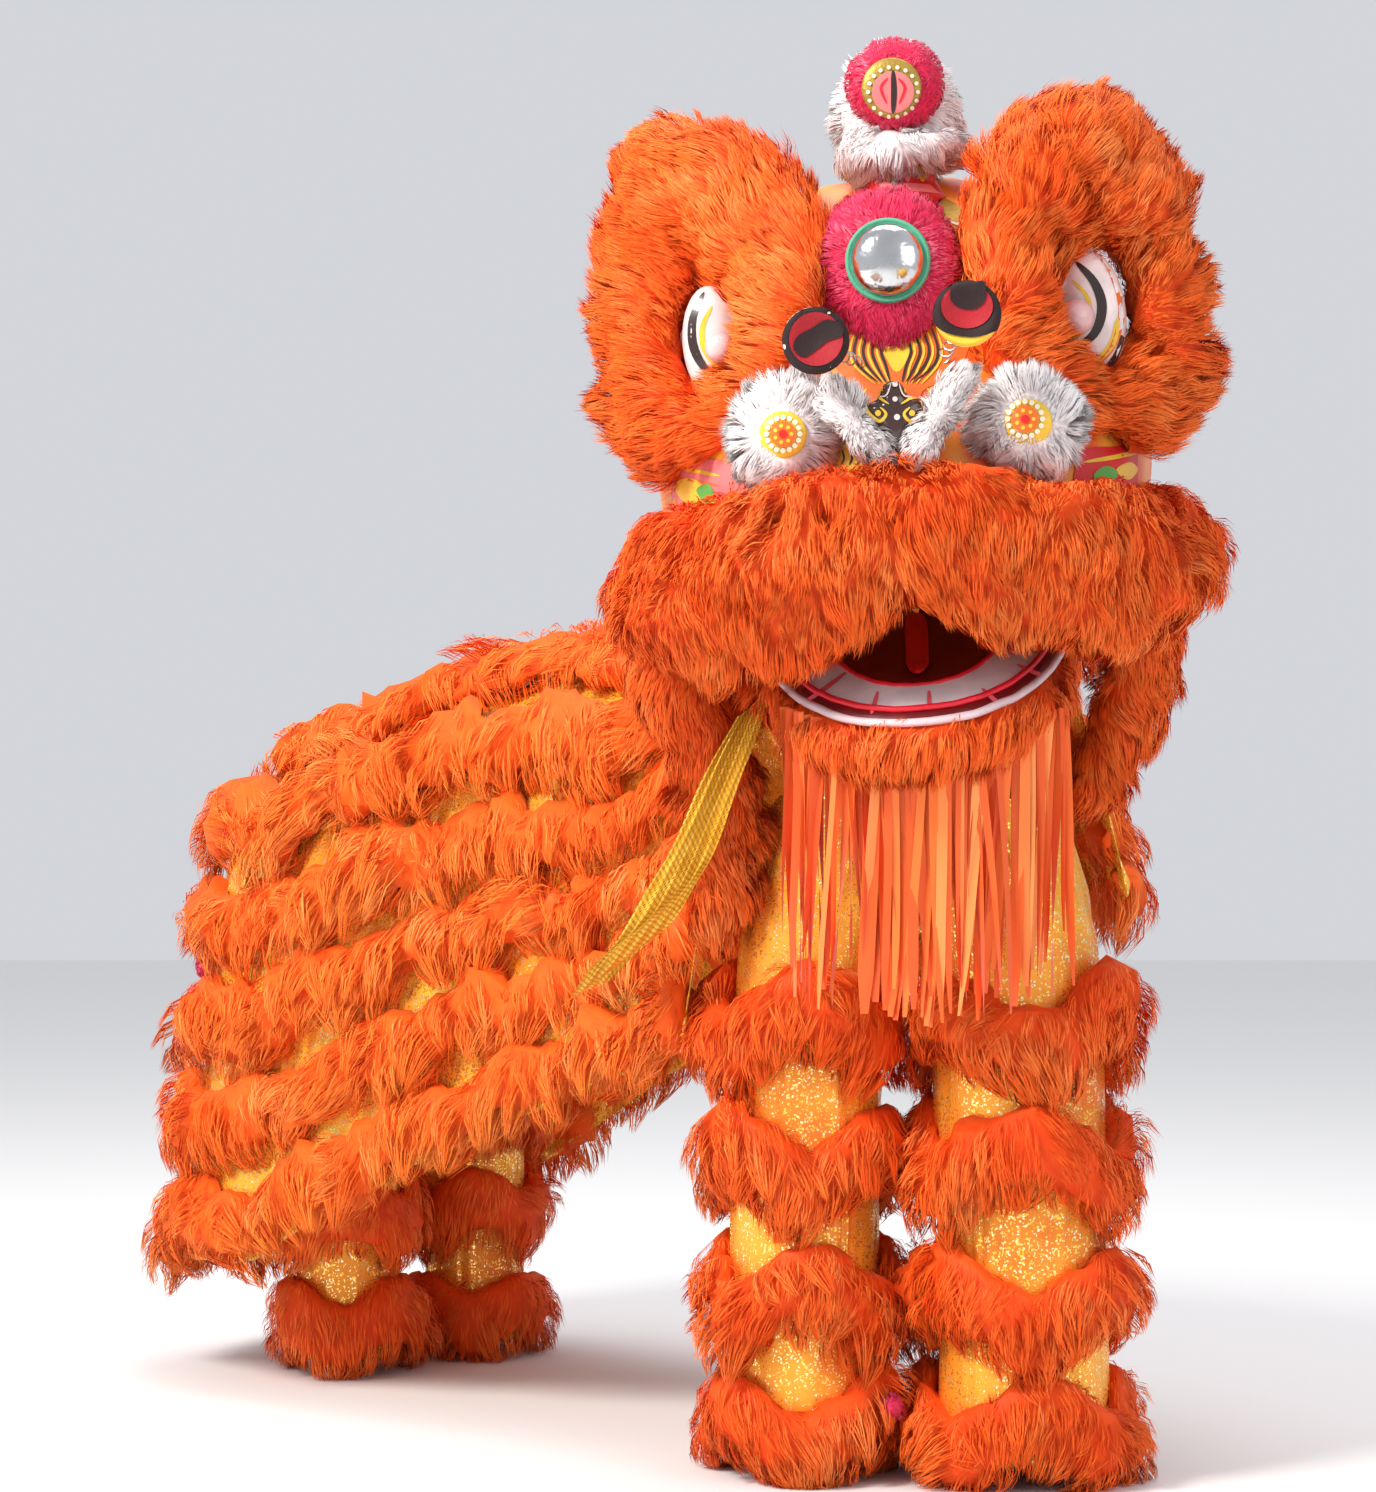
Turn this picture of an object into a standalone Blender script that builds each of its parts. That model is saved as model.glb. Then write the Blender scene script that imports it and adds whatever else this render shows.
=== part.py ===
"""A lion dance costume for two wearers, shown as worn.

It has a hard lion head with deep fur, a cape of gold cloth with wavy rows of fur over a bent back, and two
pairs of fish-scale trousers. The lion faces -Y and +Z is up.
"""

import math

import bmesh
import bpy
import numpy as np
from mathutils import Vector

# Overall sizes, in metres. Heights run from the floor until the whole costume is hung from the head's hold.
HEAD_HALF = 0.35  # half width of the head over its fur; the head's tables hold shares of it
HEAD_HEIGHT = 1.15  # floor to the head's middle; the heights in the body's tables are shares of it
HEAD_ROLL = math.radians(-4.5)
HEAD_YAW = math.radians(-4.0)
SHELL_WALL = 0.003
CLOTH = 0.0025
GAP = 0.0006  # clearance between pieces that touch
SHELL_SQUARENESS = 2.6  # exponent of the shell's rounded plan outline

# The head shell, bottom to top.
SHELL_ROWS = (  # height, half width, front depth, rear depth
    (-0.43, 0.70, 0.90, 0.57),
    (-0.22, 0.77, 0.91, 0.64),
    (0.00, 0.82, 0.87, 0.69),
    (0.20, 0.77, 0.79, 0.71),
    (0.40, 0.74, 0.70, 0.71),
    (0.60, 0.69, 0.62, 0.67),
    (0.77, 0.57, 0.52, 0.57),
    (0.89, 0.41, 0.38, 0.43),
    (0.95, 0.23, 0.22, 0.25),
)

# Fur round the eyes: a closed roll whose tallest lobe is the brow.
BROW_LEFT = (  # x, y, z, half width, half depth
    (-0.345, -0.671, 0.416, 0.107, 0.143),
    (-0.308, -0.614, 0.579, 0.172, 0.157),
    (-0.370, -0.543, 0.752, 0.218, 0.177),
    (-0.534, -0.457, 0.890, 0.262, 0.206),
    (-0.685, -0.386, 0.879, 0.262, 0.194),
    (-0.760, -0.343, 0.724, 0.195, 0.171),
    (-0.785, -0.343, 0.493, 0.125, 0.157),
    (-0.780, -0.371, 0.323, 0.130, 0.149),
    (-0.741, -0.457, 0.186, 0.140, 0.143),
    (-0.611, -0.557, 0.142, 0.112, 0.137),
    (-0.493, -0.629, 0.206, 0.075, 0.129),
    (-0.400, -0.671, 0.296, 0.083, 0.129),
)
BROW_RIGHT = (  # x, y, z, half width, half depth
    (0.377, -0.643, 0.475, 0.144, 0.157),
    (0.397, -0.586, 0.687, 0.200, 0.171),
    (0.530, -0.514, 0.850, 0.250, 0.189),
    (0.685, -0.443, 0.886, 0.249, 0.206),
    (0.822, -0.371, 0.751, 0.178, 0.189),
    (0.845, -0.343, 0.595, 0.125, 0.171),
    (0.869, -0.343, 0.399, 0.122, 0.157),
    (0.845, -0.371, 0.235, 0.148, 0.149),
    (0.740, -0.471, 0.111, 0.146, 0.143),
    (0.620, -0.571, 0.107, 0.112, 0.137),
    (0.526, -0.657, 0.198, 0.066, 0.131),
    (0.402, -0.671, 0.302, 0.110, 0.143),
)
LIP_FUR = (  # x, y, z, half width, half depth
    (-0.795, -0.257, -0.190, 0.160, 0.100),
    (-0.760, -0.471, -0.250, 0.240, 0.130),
    (-0.659, -0.671, -0.325, 0.285, 0.149),
    (-0.462, -0.829, -0.341, 0.280, 0.154),
    (-0.267, -0.929, -0.284, 0.255, 0.154),
    (-0.077, -0.986, -0.237, 0.226, 0.149),
    (0.069, -1.000, -0.222, 0.211, 0.143),
    (0.211, -0.986, -0.275, 0.225, 0.149),
    (0.374, -0.929, -0.344, 0.250, 0.154),
    (0.558, -0.829, -0.375, 0.258, 0.154),
    (0.718, -0.671, -0.361, 0.270, 0.149),
    (0.785, -0.471, -0.316, 0.240, 0.130),
    (0.830, -0.257, -0.235, 0.150, 0.100),
)
NOSE_FUR = (  # out from the middle, y, z, half width, half depth
    (0.200, -0.950, 0.205, 0.040, 0.045),
    (0.128, -0.985, 0.105, 0.044, 0.050),
    (0.058, -1.025, 0.005, 0.036, 0.045),
)
NOSTRIL_FUR = (  # side, x, y, z, radius
    ("left", -0.352, -0.860, 0.095, 0.138),
    ("right", 0.402, -0.840, 0.071, 0.138),
)
EYES = (  # side, x, y, z, plate half width, plate half height, ball radius, ball x, ball z
    ("left", -0.569, -0.575, 0.436, 0.098, 0.185, 0.052, 0.030, -0.030),
    ("right", 0.634, -0.555, 0.428, 0.112, 0.205, 0.058, -0.050, -0.020),
)
BALLS = (  # side, x, y, z
    ("left", -0.223, -1.143, 0.356),
    ("right", 0.240, -1.143, 0.396),
)
BALL_RADIUS = 0.105
SPRING_FEET = (  # side, x, z of the coil's foot on the bridge of the nose
    ("left", -0.100, 0.310),
    ("right", 0.150, 0.300),
)
SPRING_COIL = 0.022
SPRING_WIRE = 0.0045
SPRING_TURNS = 6
MIRROR = (0.009, -0.700, 0.621)  # x, y, z of the forehead mirror
MIRROR_RADIUS = 0.119
MIRROR_RIM = 0.016
PAD_HALF_WIDTH = 0.225
PAD_TOP = 0.235
PAD_POINT = 0.300
NOSE = (-0.004, -1.000, 0.118)  # x, y, z of the nose plate
NOSE_OUTLINE = (  # across and up, as shares of the nose's half width and half height
    (0.00, 1.00),
    (0.34, 0.86),
    (0.50, 0.45),
    (1.00, 0.40),
    (0.94, -0.05),
    (0.52, -0.32),
    (0.30, -0.75),
    (0.00, -1.00),
    (-0.30, -0.75),
    (-0.52, -0.32),
    (-0.94, -0.05),
    (-1.00, 0.40),
    (-0.50, 0.45),
    (-0.34, 0.86),
)
NOSE_HALF_WIDTH = 0.099
NOSE_HALF_HEIGHT = 0.118
HORN_Y = -0.36
HORN_COLLAR = (0.066, 0.850)  # x, z of the curved band at the horn's foot
HORN_TOP = (0.072, 1.192)  # x, z of the middle of the horn's plush pad

# The jaw, in its own plane: a dish that slopes forward and down from its hinge bar.
JAW_HINGE_Y = 0.03
JAW_HINGE_Z = -0.135  # from the head's middle
JAW_SLOPE = math.radians(21.5)
JAW_HALF_WIDTH = 0.100
JAW_LENGTH = 0.300
JAW_BRIM_ACROSS = 0.078
JAW_BRIM_FORWARD = 0.066
JAW_BRIM_DROP = 0.012
JAW_WALL = 0.0035
JAW_BAR_RADIUS = 0.007
TONGUE_WIDTH = 0.032
TONGUE_THICKNESS = 0.006

# The cape's back line, from under the head to the rump. Its heights are shares of HEAD_HEIGHT.
SPINE = (  # x, y, ridge height, half width, near hem height, far hem height
    (0.005, 0.060, 0.9217, 0.205, 0.4174, 0.5739),
    (-0.030, 0.240, 0.8957, 0.225, 0.4043, 0.5391),
    (-0.140, 0.420, 0.8417, 0.240, 0.3696, 0.487),
    (-0.290, 0.575, 0.84, 0.250, 0.313, 0.4261),
    (-0.455, 0.725, 0.8104, 0.255, 0.2348, 0.3478),
    (-0.615, 0.865, 0.7478, 0.260, 0.1435, 0.2435),
)
RUMP_HEM = 0.113  # share of HEAD_HEIGHT
CAPE_SHOULDER = 1 / 3  # share of the way down where the cloth turns from the back to the flank
CAPE_SHOULDER_DROP = 0.17
CAPE_FLARE = 0.055
CAPE_FOLD = 0.010
CAPE_WAVES = 15
COLUMNS_PER_WAVE = 4
FLANK_SHARE = 0.37  # share of the cape's length along one flank; the rump takes the rest
CAPE_ROWS = 6

FUR_THICKNESS = 0.030
CAPE_FUR_PITCH = 0.165  # share of the way down between two rows
CAPE_FUR_HALF = 0.36  # half width of a row, as a share of the pitch
CAPE_FUR_SWING = 0.12
CAPE_FUR_ROWS = (  # share of the way down, first wave, last wave
    (0.105, 1.75, 13.25),
    (0.270, 1.5, 13.5),
    (0.435, 0.5, 14.5),
    (0.600, 0, 15),
    (0.765, 0, 15),
    (0.930, 0, 15),
)

# Trousers: one garment for each wearer. Heights are shares of HEAD_HEIGHT.
TROUSERS = (  # wearer, waist x, waist y, waist height, crotch height, leg, leg x, leg y, radius
    ("front", 0.010, 0.000, 0.713, 0.5913, "near", -0.116, 0.020, 0.087),
    ("front", 0.010, 0.000, 0.713, 0.5913, "far", 0.133, -0.020, 0.099),
    ("rear", -0.620, 0.910, 0.5565, 0.4174, "near", -0.705, 0.840, 0.070),
    ("rear", -0.620, 0.910, 0.5565, 0.4174, "far", -0.545, 1.010, 0.070),
)
WAIST_RADIUS = 0.115
CROTCH_EASE = 0.07  # how far below the crotch the legs begin to lean in
LEG_COLUMNS = 15
LEG_LOBES = 3
LEG_FUR = (  # wearer, leg, half width, swing, middle heights of the fur rows
    ("front", "near", 0.045, 0.029, (0.4557, 0.32, 0.1843, 0.0557)),
    ("front", "far", 0.045, 0.029, (0.4557, 0.32, 0.1843, 0.0557)),
    ("rear", "near", 0.050, 0.018, (0.1861, 0.0609)),
    ("rear", "far", 0.048, 0.016, (0.3, 0.1783, 0.0557)),
)

SLOTS = {  # colour, roughness, metallic
    "orange_fur": ((0.90, 0.13, 0.012, 1), 0.85, 0.0),
    "white_fur": ((0.90, 0.86, 0.84, 1), 0.85, 0.0),
    "pink_plush": ((0.88, 0.05, 0.16, 1), 0.80, 0.0),
    "head_paint": ((0.85, 0.22, 0.03, 1), 0.35, 0.0),
    "gold_cloth": ((0.85, 0.47, 0.05, 1), 0.32, 0.7),
    "gold_mesh": ((0.72, 0.42, 0.04, 1), 0.40, 0.5),
    "orange_satin": ((0.92, 0.22, 0.03, 1), 0.40, 0.0),
    "mouth_red": ((0.35, 0.01, 0.015, 1), 0.50, 0.0),
    "tooth_white": ((0.88, 0.86, 0.88, 1), 0.45, 0.0),
    "tongue_red": ((0.85, 0.02, 0.03, 1), 0.45, 0.0),
    "mirror": ((0.80, 0.80, 0.82, 1), 0.12, 1.0),
    "green_trim": ((0.10, 0.45, 0.25, 1), 0.50, 0.0),
    "nose_black": ((0.06, 0.02, 0.015, 1), 0.25, 0.0),
    "eye_paint": ((0.88, 0.75, 0.70, 1), 0.40, 0.0),
    "disc_yellow": ((0.90, 0.60, 0.08, 1), 0.45, 0.0),
    "ball_red": ((0.45, 0.01, 0.03, 1), 0.70, 0.0),
    "spring_steel": ((0.62, 0.62, 0.64, 1), 0.35, 1.0),
    "horn_gold": ((0.75, 0.45, 0.08, 1), 0.40, 0.3),
    "dark_red": ((0.40, 0.01, 0.03, 1), 0.80, 0.0),
}

for old in list(bpy.data.objects):
    bpy.data.objects.remove(old, do_unlink=True)

pieces = bpy.data.collections.new("lion_dance_costume")
bpy.context.scene.collection.children.link(pieces)
cutters = bpy.data.collections.new("cutters")
cutters.hide_render = True
bpy.context.scene.collection.children.link(cutters)


def empty(name, location=(0, 0, 0), rotation=(0, 0, 0), parent=None):
    holder = bpy.data.objects.new(name, None)
    holder.location = location
    holder.rotation_euler = rotation
    holder.parent = parent
    pieces.objects.link(holder)
    return holder


throat = empty("throat")  # level with the head's middle, but plumb: what hangs straight down from the head
hang = empty("hang", (0, 0, -HEAD_HEIGHT))
head = empty("head", (0, 0, HEAD_HEIGHT), (0, HEAD_ROLL, HEAD_YAW), hang)
jaw_frame = empty("jaw_frame", (0, JAW_HINGE_Y, JAW_HINGE_Z), (JAW_SLOPE, 0, 0), head)


def material(name, slot):
    colour, roughness, metallic = SLOTS[slot]
    made = bpy.data.materials.new(name)
    made.use_nodes = True
    shader = made.node_tree.nodes["Principled BSDF"]
    shader.inputs["Base Color"].default_value = colour
    shader.inputs["Roughness"].default_value = roughness
    shader.inputs["Metallic"].default_value = metallic
    return made


def add(name, points, faces, slot, parent, smooth=True):
    """A named object from points and faces, its normals turned outwards."""
    mesh = bpy.data.meshes.new(name)
    mesh.from_pydata([tuple(p) for p in points], [], faces)
    work = bmesh.new()
    work.from_mesh(mesh)
    bmesh.ops.remove_doubles(work, verts=work.verts, dist=1e-6)
    bmesh.ops.recalc_face_normals(work, faces=work.faces)
    work.to_mesh(mesh)
    work.free()
    if smooth:
        mesh.shade_smooth()
    made = bpy.data.objects.new(name, mesh)
    made.parent = parent
    if slot:
        mesh.materials.append(material(name, slot))
        pieces.objects.link(made)
    else:
        made.hide_render = True
        made.display_type = "WIRE"
        cutters.objects.link(made)
    return made


def grid_faces(rows, columns, close_rows, close_columns):
    """Faces over a grid of points stored row by row.

    Each cell is two triangles, so that a piece and its clearance twin bend along the same diagonals.
    """
    faces = []
    for r in range(rows if close_rows else rows - 1):
        for c in range(columns if close_columns else columns - 1):
            r2 = (r + 1) % rows
            c2 = (c + 1) % columns
            a, b, far, d = r * columns + c, r * columns + c2, r2 * columns + c2, r2 * columns + c
            faces += [(a, b, far), (a, far, d)]
    return faces


def loft(name, rings, slot, parent, closed=False):
    """A closed body through rings of points: a loop of rings, or a row of them with flat ends."""
    rows = len(rings)
    columns = len(rings[0])
    points = [p for ring in rings for p in ring]
    faces = grid_faces(rows, columns, closed, True)
    if not closed:
        faces.append(tuple(range(columns)))
        faces.append(tuple(range((rows - 1) * columns, rows * columns)))
    return add(name, points, faces, slot, parent)


def spline(rows, count, closed):
    """A smooth table of the same columns with this many rows, by Catmull-Rom."""
    table = np.array(rows, float)
    n = len(table)
    spans = n if closed else n - 1
    result = []
    for k in range(count):
        t = k * spans / (count if closed else count - 1)
        i = min(int(t), spans - 1)
        f = t - i
        picks = [(i + d) % n if closed else min(max(i + d, 0), n - 1) for d in (-1, 0, 1, 2)]
        p0, p1, p2, p3 = table[picks]
        bend = 2 * p0 - 5 * p1 + 4 * p2 - p3
        twist = 3 * p1 - p0 - 3 * p2 + p3
        result.append(0.5 * (2 * p1 + (p2 - p0) * f + bend * f * f + twist * f**3))
    return np.array(result)


def fur_roll(name, rows, count, sides, slot, parent, closed=False, hub=None, grow=0.0, lock=0.05):
    """A rounded roll of fur along a table of x, y, z, half width, half depth.

    Its locks swell and shrink it a little. An open roll ends in domes. A closed one spreads out from its hub.
    grow makes the slightly larger twin that cuts its neighbours.
    """
    table = spline(rows, count, closed)
    points = table[:, :3]
    if closed:
        tangents = np.roll(points, -1, 0) - np.roll(points, 1, 0)
    else:
        tangents = np.gradient(points, axis=0)
    tangents /= np.linalg.norm(tangents, axis=1)[:, None]
    stations = []
    for k in range(count):
        stations.append((points[k], tangents[k], table[k, 3], table[k, 4], k))
    if not closed:
        first, last = stations[0], stations[-1]
        ends = []
        for (p, t, w, d, k), way in ((first, -1), (last, 1)):
            end = []
            for out, size in ((0.55, 0.80), (0.90, 0.40)):
                end.append((p + way * t * (min(w, d) * out + 4 * grow), t, w * size, d * size, k))
            ends.append(end)
        stations = ends[0][::-1] + stations + ends[1]
    rings = []
    for p, t, w, d, k in stations:
        depth = np.array((0.0, -1.0, 0.0))
        if hub is None:
            depth -= t * depth.dot(t)
            depth /= np.linalg.norm(depth)
            across = np.cross(t, depth)
        else:
            across = np.array((p[0] - hub[0], 0.0, p[2] - hub[1]))
            across /= np.linalg.norm(across)
        ring = []
        for s in range(sides):
            angle = 2 * math.pi * s / sides
            swell = 1 + lock * math.sin(2.4 * k + 1.7 * s)
            width = w * swell + grow
            deep = d * swell + grow
            ring.append(p + across * width * math.cos(angle) + depth * deep * math.sin(angle))
        rings.append(ring)
    return loft(name, rings, slot, parent, closed)


def turned(name, profile, sides, slot, location, parent):
    """A round body turned about -Y from a profile of radius and reach forward, back to front."""
    rings = []
    for radius, reach in profile:
        ring = []
        for s in range(sides):
            angle = 2 * math.pi * s / sides
            ring.append((radius * math.cos(angle), -reach, radius * math.sin(angle)))
        rings.append(ring)
    made = loft(name, rings, slot, parent)
    made.location = location
    return made


def orient(made, score):
    """Turns an open surface over if its faces point against what score of centre and normal asks for."""
    if sum(score(p.center, p.normal) * p.area for p in made.data.polygons) < 0:
        made.data.flip_normals()


def cut(target, *tools, solver="EXACT"):
    for tool in tools:
        boolean = target.modifiers.new("clear_" + tool.name, "BOOLEAN")
        boolean.operation = "DIFFERENCE"
        boolean.solver = solver
        boolean.object = tool


def in_head(values):
    """Head shares to metres, for the numbers of a table's row."""
    return tuple(v * HEAD_HALF for v in values)


def head_rows(rows):
    return [in_head(row) for row in rows]


def risen(rows, *columns):
    """A table of the body with the heights in these columns turned from shares of HEAD_HEIGHT to metres."""
    table = np.array(rows, float)
    table[:, columns] *= HEAD_HEIGHT
    return table


# Head shell: a rounded dome of varying plan outline, open below.
def shell_ring(height, half_width, front, rear, grow, columns):
    ring = []
    for c in range(columns):
        angle = 2 * math.pi * c / columns
        x, y = math.cos(angle), math.sin(angle)
        size = (abs(x) ** SHELL_SQUARENESS + abs(y) ** SHELL_SQUARENESS) ** (-1 / SHELL_SQUARENESS)
        depth = rear if y > 0 else front
        across = half_width * HEAD_HALF + grow
        along = depth * HEAD_HALF + grow
        ring.append((x * size * across, y * size * along, height * HEAD_HALF + grow))
    return ring


SHELL_COLUMNS = 26
shell_table = spline(SHELL_ROWS, 9, False)
shell_rings = [shell_ring(*row, 0.0, SHELL_COLUMNS) for row in shell_table]
shell_faces = grid_faces(len(shell_rings), SHELL_COLUMNS, False, True)
shell_faces.append(tuple(range((len(shell_rings) - 1) * SHELL_COLUMNS, len(shell_rings) * SHELL_COLUMNS)))
head_shell = add("head_shell", [p for ring in shell_rings for p in ring], shell_faces, "head_paint", head)
orient(head_shell, lambda centre, normal: centre.dot(normal))
solid = head_shell.modifiers.new("wall", "SOLIDIFY")
solid.thickness = SHELL_WALL
solid.offset = -1
cut_rings = [shell_ring(*row, GAP, SHELL_COLUMNS) for row in shell_table]
cut_rings[0] = [(x, y, z - 2 * GAP) for x, y, z in cut_rings[0]]
shell_clear = loft("shell_clear", cut_rings, None, head)

# Fur round the eyes and over the mouth.
brow_clear = {}
for (side, eye_x, _, eye_z, *_), rows in zip(EYES, (BROW_LEFT, BROW_RIGHT)):
    hub = (eye_x * HEAD_HALF, eye_z * HEAD_HALF)
    table = head_rows(rows)
    brow = fur_roll("brow_fur_" + side, table, 20, 8, "orange_fur", head, closed=True, hub=hub)
    cut(brow, shell_clear, solver="MANIFOLD")
    twin = fur_roll("brow_clear_" + side, table, 20, 8, None, head, closed=True, hub=hub, grow=GAP)
    brow_clear[side] = twin
lip_fur = fur_roll("lip_fur", head_rows(LIP_FUR), 18, 8, "orange_fur", head)
lip_clear = fur_roll("lip_clear", head_rows(LIP_FUR), 18, 8, None, head, grow=GAP)
cut(lip_fur, shell_clear, solver="MANIFOLD")
cut(lip_fur, brow_clear["left"], brow_clear["right"], solver="MANIFOLD")

# Eyes: a flat painted plate with a ball on it.
for side, x, y, z, half_x, half_z, ball, ball_x, ball_z in EYES:
    plate = turned(
        "eye_" + side,
        [(1.0, -0.45), (1.0, 0.0), (0.80, 0.025), (0.45, 0.045)],
        16,
        "eye_paint",
        in_head((x, y, z)),
        head,
    )
    for vertex in plate.data.vertices:
        vertex.co.x *= half_x * HEAD_HALF
        vertex.co.z *= half_z * HEAD_HALF
        vertex.co.y *= HEAD_HALF
    cut(plate, shell_clear, brow_clear[side], solver="MANIFOLD")
    bpy.ops.mesh.primitive_uv_sphere_add(segments=12, ring_count=7, radius=ball * HEAD_HALF)
    pupil = bpy.context.object
    pupil.name = "eyeball_" + side
    for owner in list(pupil.users_collection):
        owner.objects.unlink(pupil)
    pieces.objects.link(pupil)
    pupil.parent = head
    pupil.location = in_head((x + ball_x, y - 0.045 - 0.6 * ball, z + ball_z))
    pupil.data.materials.append(material(pupil.name, "eye_paint"))
    pupil.data.shade_smooth()
    plate_clear = plate.copy()
    plate_clear.data = plate.data.copy()
    plate_clear.name = "eye_clear_" + side
    plate_clear.hide_render = True
    plate_clear.display_type = "WIRE"
    plate_clear.modifiers.clear()
    plate_clear.location.y -= GAP
    cutters.objects.link(plate_clear)
    cut(pupil, plate_clear, brow_clear[side], solver="MANIFOLD")

# Forehead: a tear-shaped plush pad, a green rim and a round mirror.
mirror_x, mirror_y, mirror_z = in_head(MIRROR)
radius = MIRROR_RADIUS * HEAD_HALF
rim = MIRROR_RIM * HEAD_HALF


def pad_ring(size, reach, columns=20):
    ring = []
    for c in range(columns):
        angle = 2 * math.pi * c / columns
        across = math.cos(angle) * PAD_HALF_WIDTH
        up = math.sin(angle)
        if up < 0:
            across *= 1 - 0.35 * up * up
            up *= PAD_POINT
        else:
            up *= PAD_TOP
        ring.append((across * size * HEAD_HALF, -reach, up * size * HEAD_HALF))
    return ring


pad_front = 0.016
mirror_pad = loft(
    "mirror_pad",
    [pad_ring(0.92, -0.060), pad_ring(0.98, -0.008), pad_ring(0.90, 0.010), pad_ring(0.70, pad_front)],
    "pink_plush",
    head,
)
mirror_pad.location = (mirror_x, mirror_y, mirror_z)
cut(mirror_pad, brow_clear["left"], brow_clear["right"])
cut(mirror_pad, shell_clear, solver="MANIFOLD")
mirror_rim = turned(
    "mirror_rim",
    [(radius + rim, 0.0), (radius + rim, 0.006), (radius + 0.5 * rim, 0.009), (radius, 0.006)],
    22,
    "green_trim",
    (mirror_x, mirror_y - pad_front - GAP, mirror_z),
    head,
)
mirror = turned(
    "forehead_mirror",
    [
        (radius - GAP, 0.0),
        (0.92 * radius, 0.008),
        (0.70 * radius, 0.016),
        (0.35 * radius, 0.0205),
        (0.08 * radius, 0.022),
    ],
    22,
    "mirror",
    (mirror_x, mirror_y - pad_front - 0.006 - 2 * GAP, mirror_z),
    head,
)

# Nose: a dark plate with a domed front, and a strip of white fur down each side of it.
nose_x, nose_y, nose_z = in_head(NOSE)


def nose_ring(size, reach):
    across = size * NOSE_HALF_WIDTH * HEAD_HALF
    up = size * NOSE_HALF_HEIGHT * HEAD_HALF
    return [(x * across, -reach, z * up) for x, z in NOSE_OUTLINE]


nose_rings = [nose_ring(0.85, -0.075), nose_ring(1.0, -0.004), nose_ring(0.9, 0.006), nose_ring(0.5, 0.012)]
nose = loft("nose", nose_rings, "nose_black", head)
nose.location = (nose_x, nose_y, nose_z)
nose_clear_rings = [nose_ring(0.90, -0.08), nose_ring(1.04, -0.004), nose_ring(0.95, 0.010)]
nose_clear = loft("nose_clear", nose_clear_rings, None, head)
nose_clear.location = nose.location
cut(nose, shell_clear, lip_clear)
white_clear = []
for side, way in (("left", -1), ("right", 1)):
    rows = [(way * x * HEAD_HALF, *in_head(rest)) for x, *rest in NOSE_FUR]
    strip = fur_roll("nose_fur_" + side, rows, 7, 7, "white_fur", head)
    cut(strip, shell_clear, lip_clear, nose_clear)
    white_clear.append(fur_roll("nose_fur_clear_" + side, rows, 7, 7, None, head, grow=GAP))

# Nostrils: a round pad of white fur with a painted disc on it.
for side, x, y, z, size in NOSTRIL_FUR:
    size *= HEAD_HALF
    pad = turned(
        "nostril_fur_" + side,
        [(0.80 * size, -0.055), (size, -0.010), (0.92 * size, 0.012), (0.62 * size, 0.020)],
        14,
        "white_fur",
        in_head((x, y, z)),
        head,
    )
    cut(pad, shell_clear, lip_clear, brow_clear[side], *white_clear, solver="MANIFOLD")
    turned(
        "nostril_disc_" + side,
        [(0.55 * size, 0.0), (0.55 * size, 0.003), (0.42 * size, 0.006), (0.15 * size, 0.009)],
        14,
        "disc_yellow",
        (x * HEAD_HALF, y * HEAD_HALF - 0.020 - GAP, z * HEAD_HALF),
        head,
    )

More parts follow.
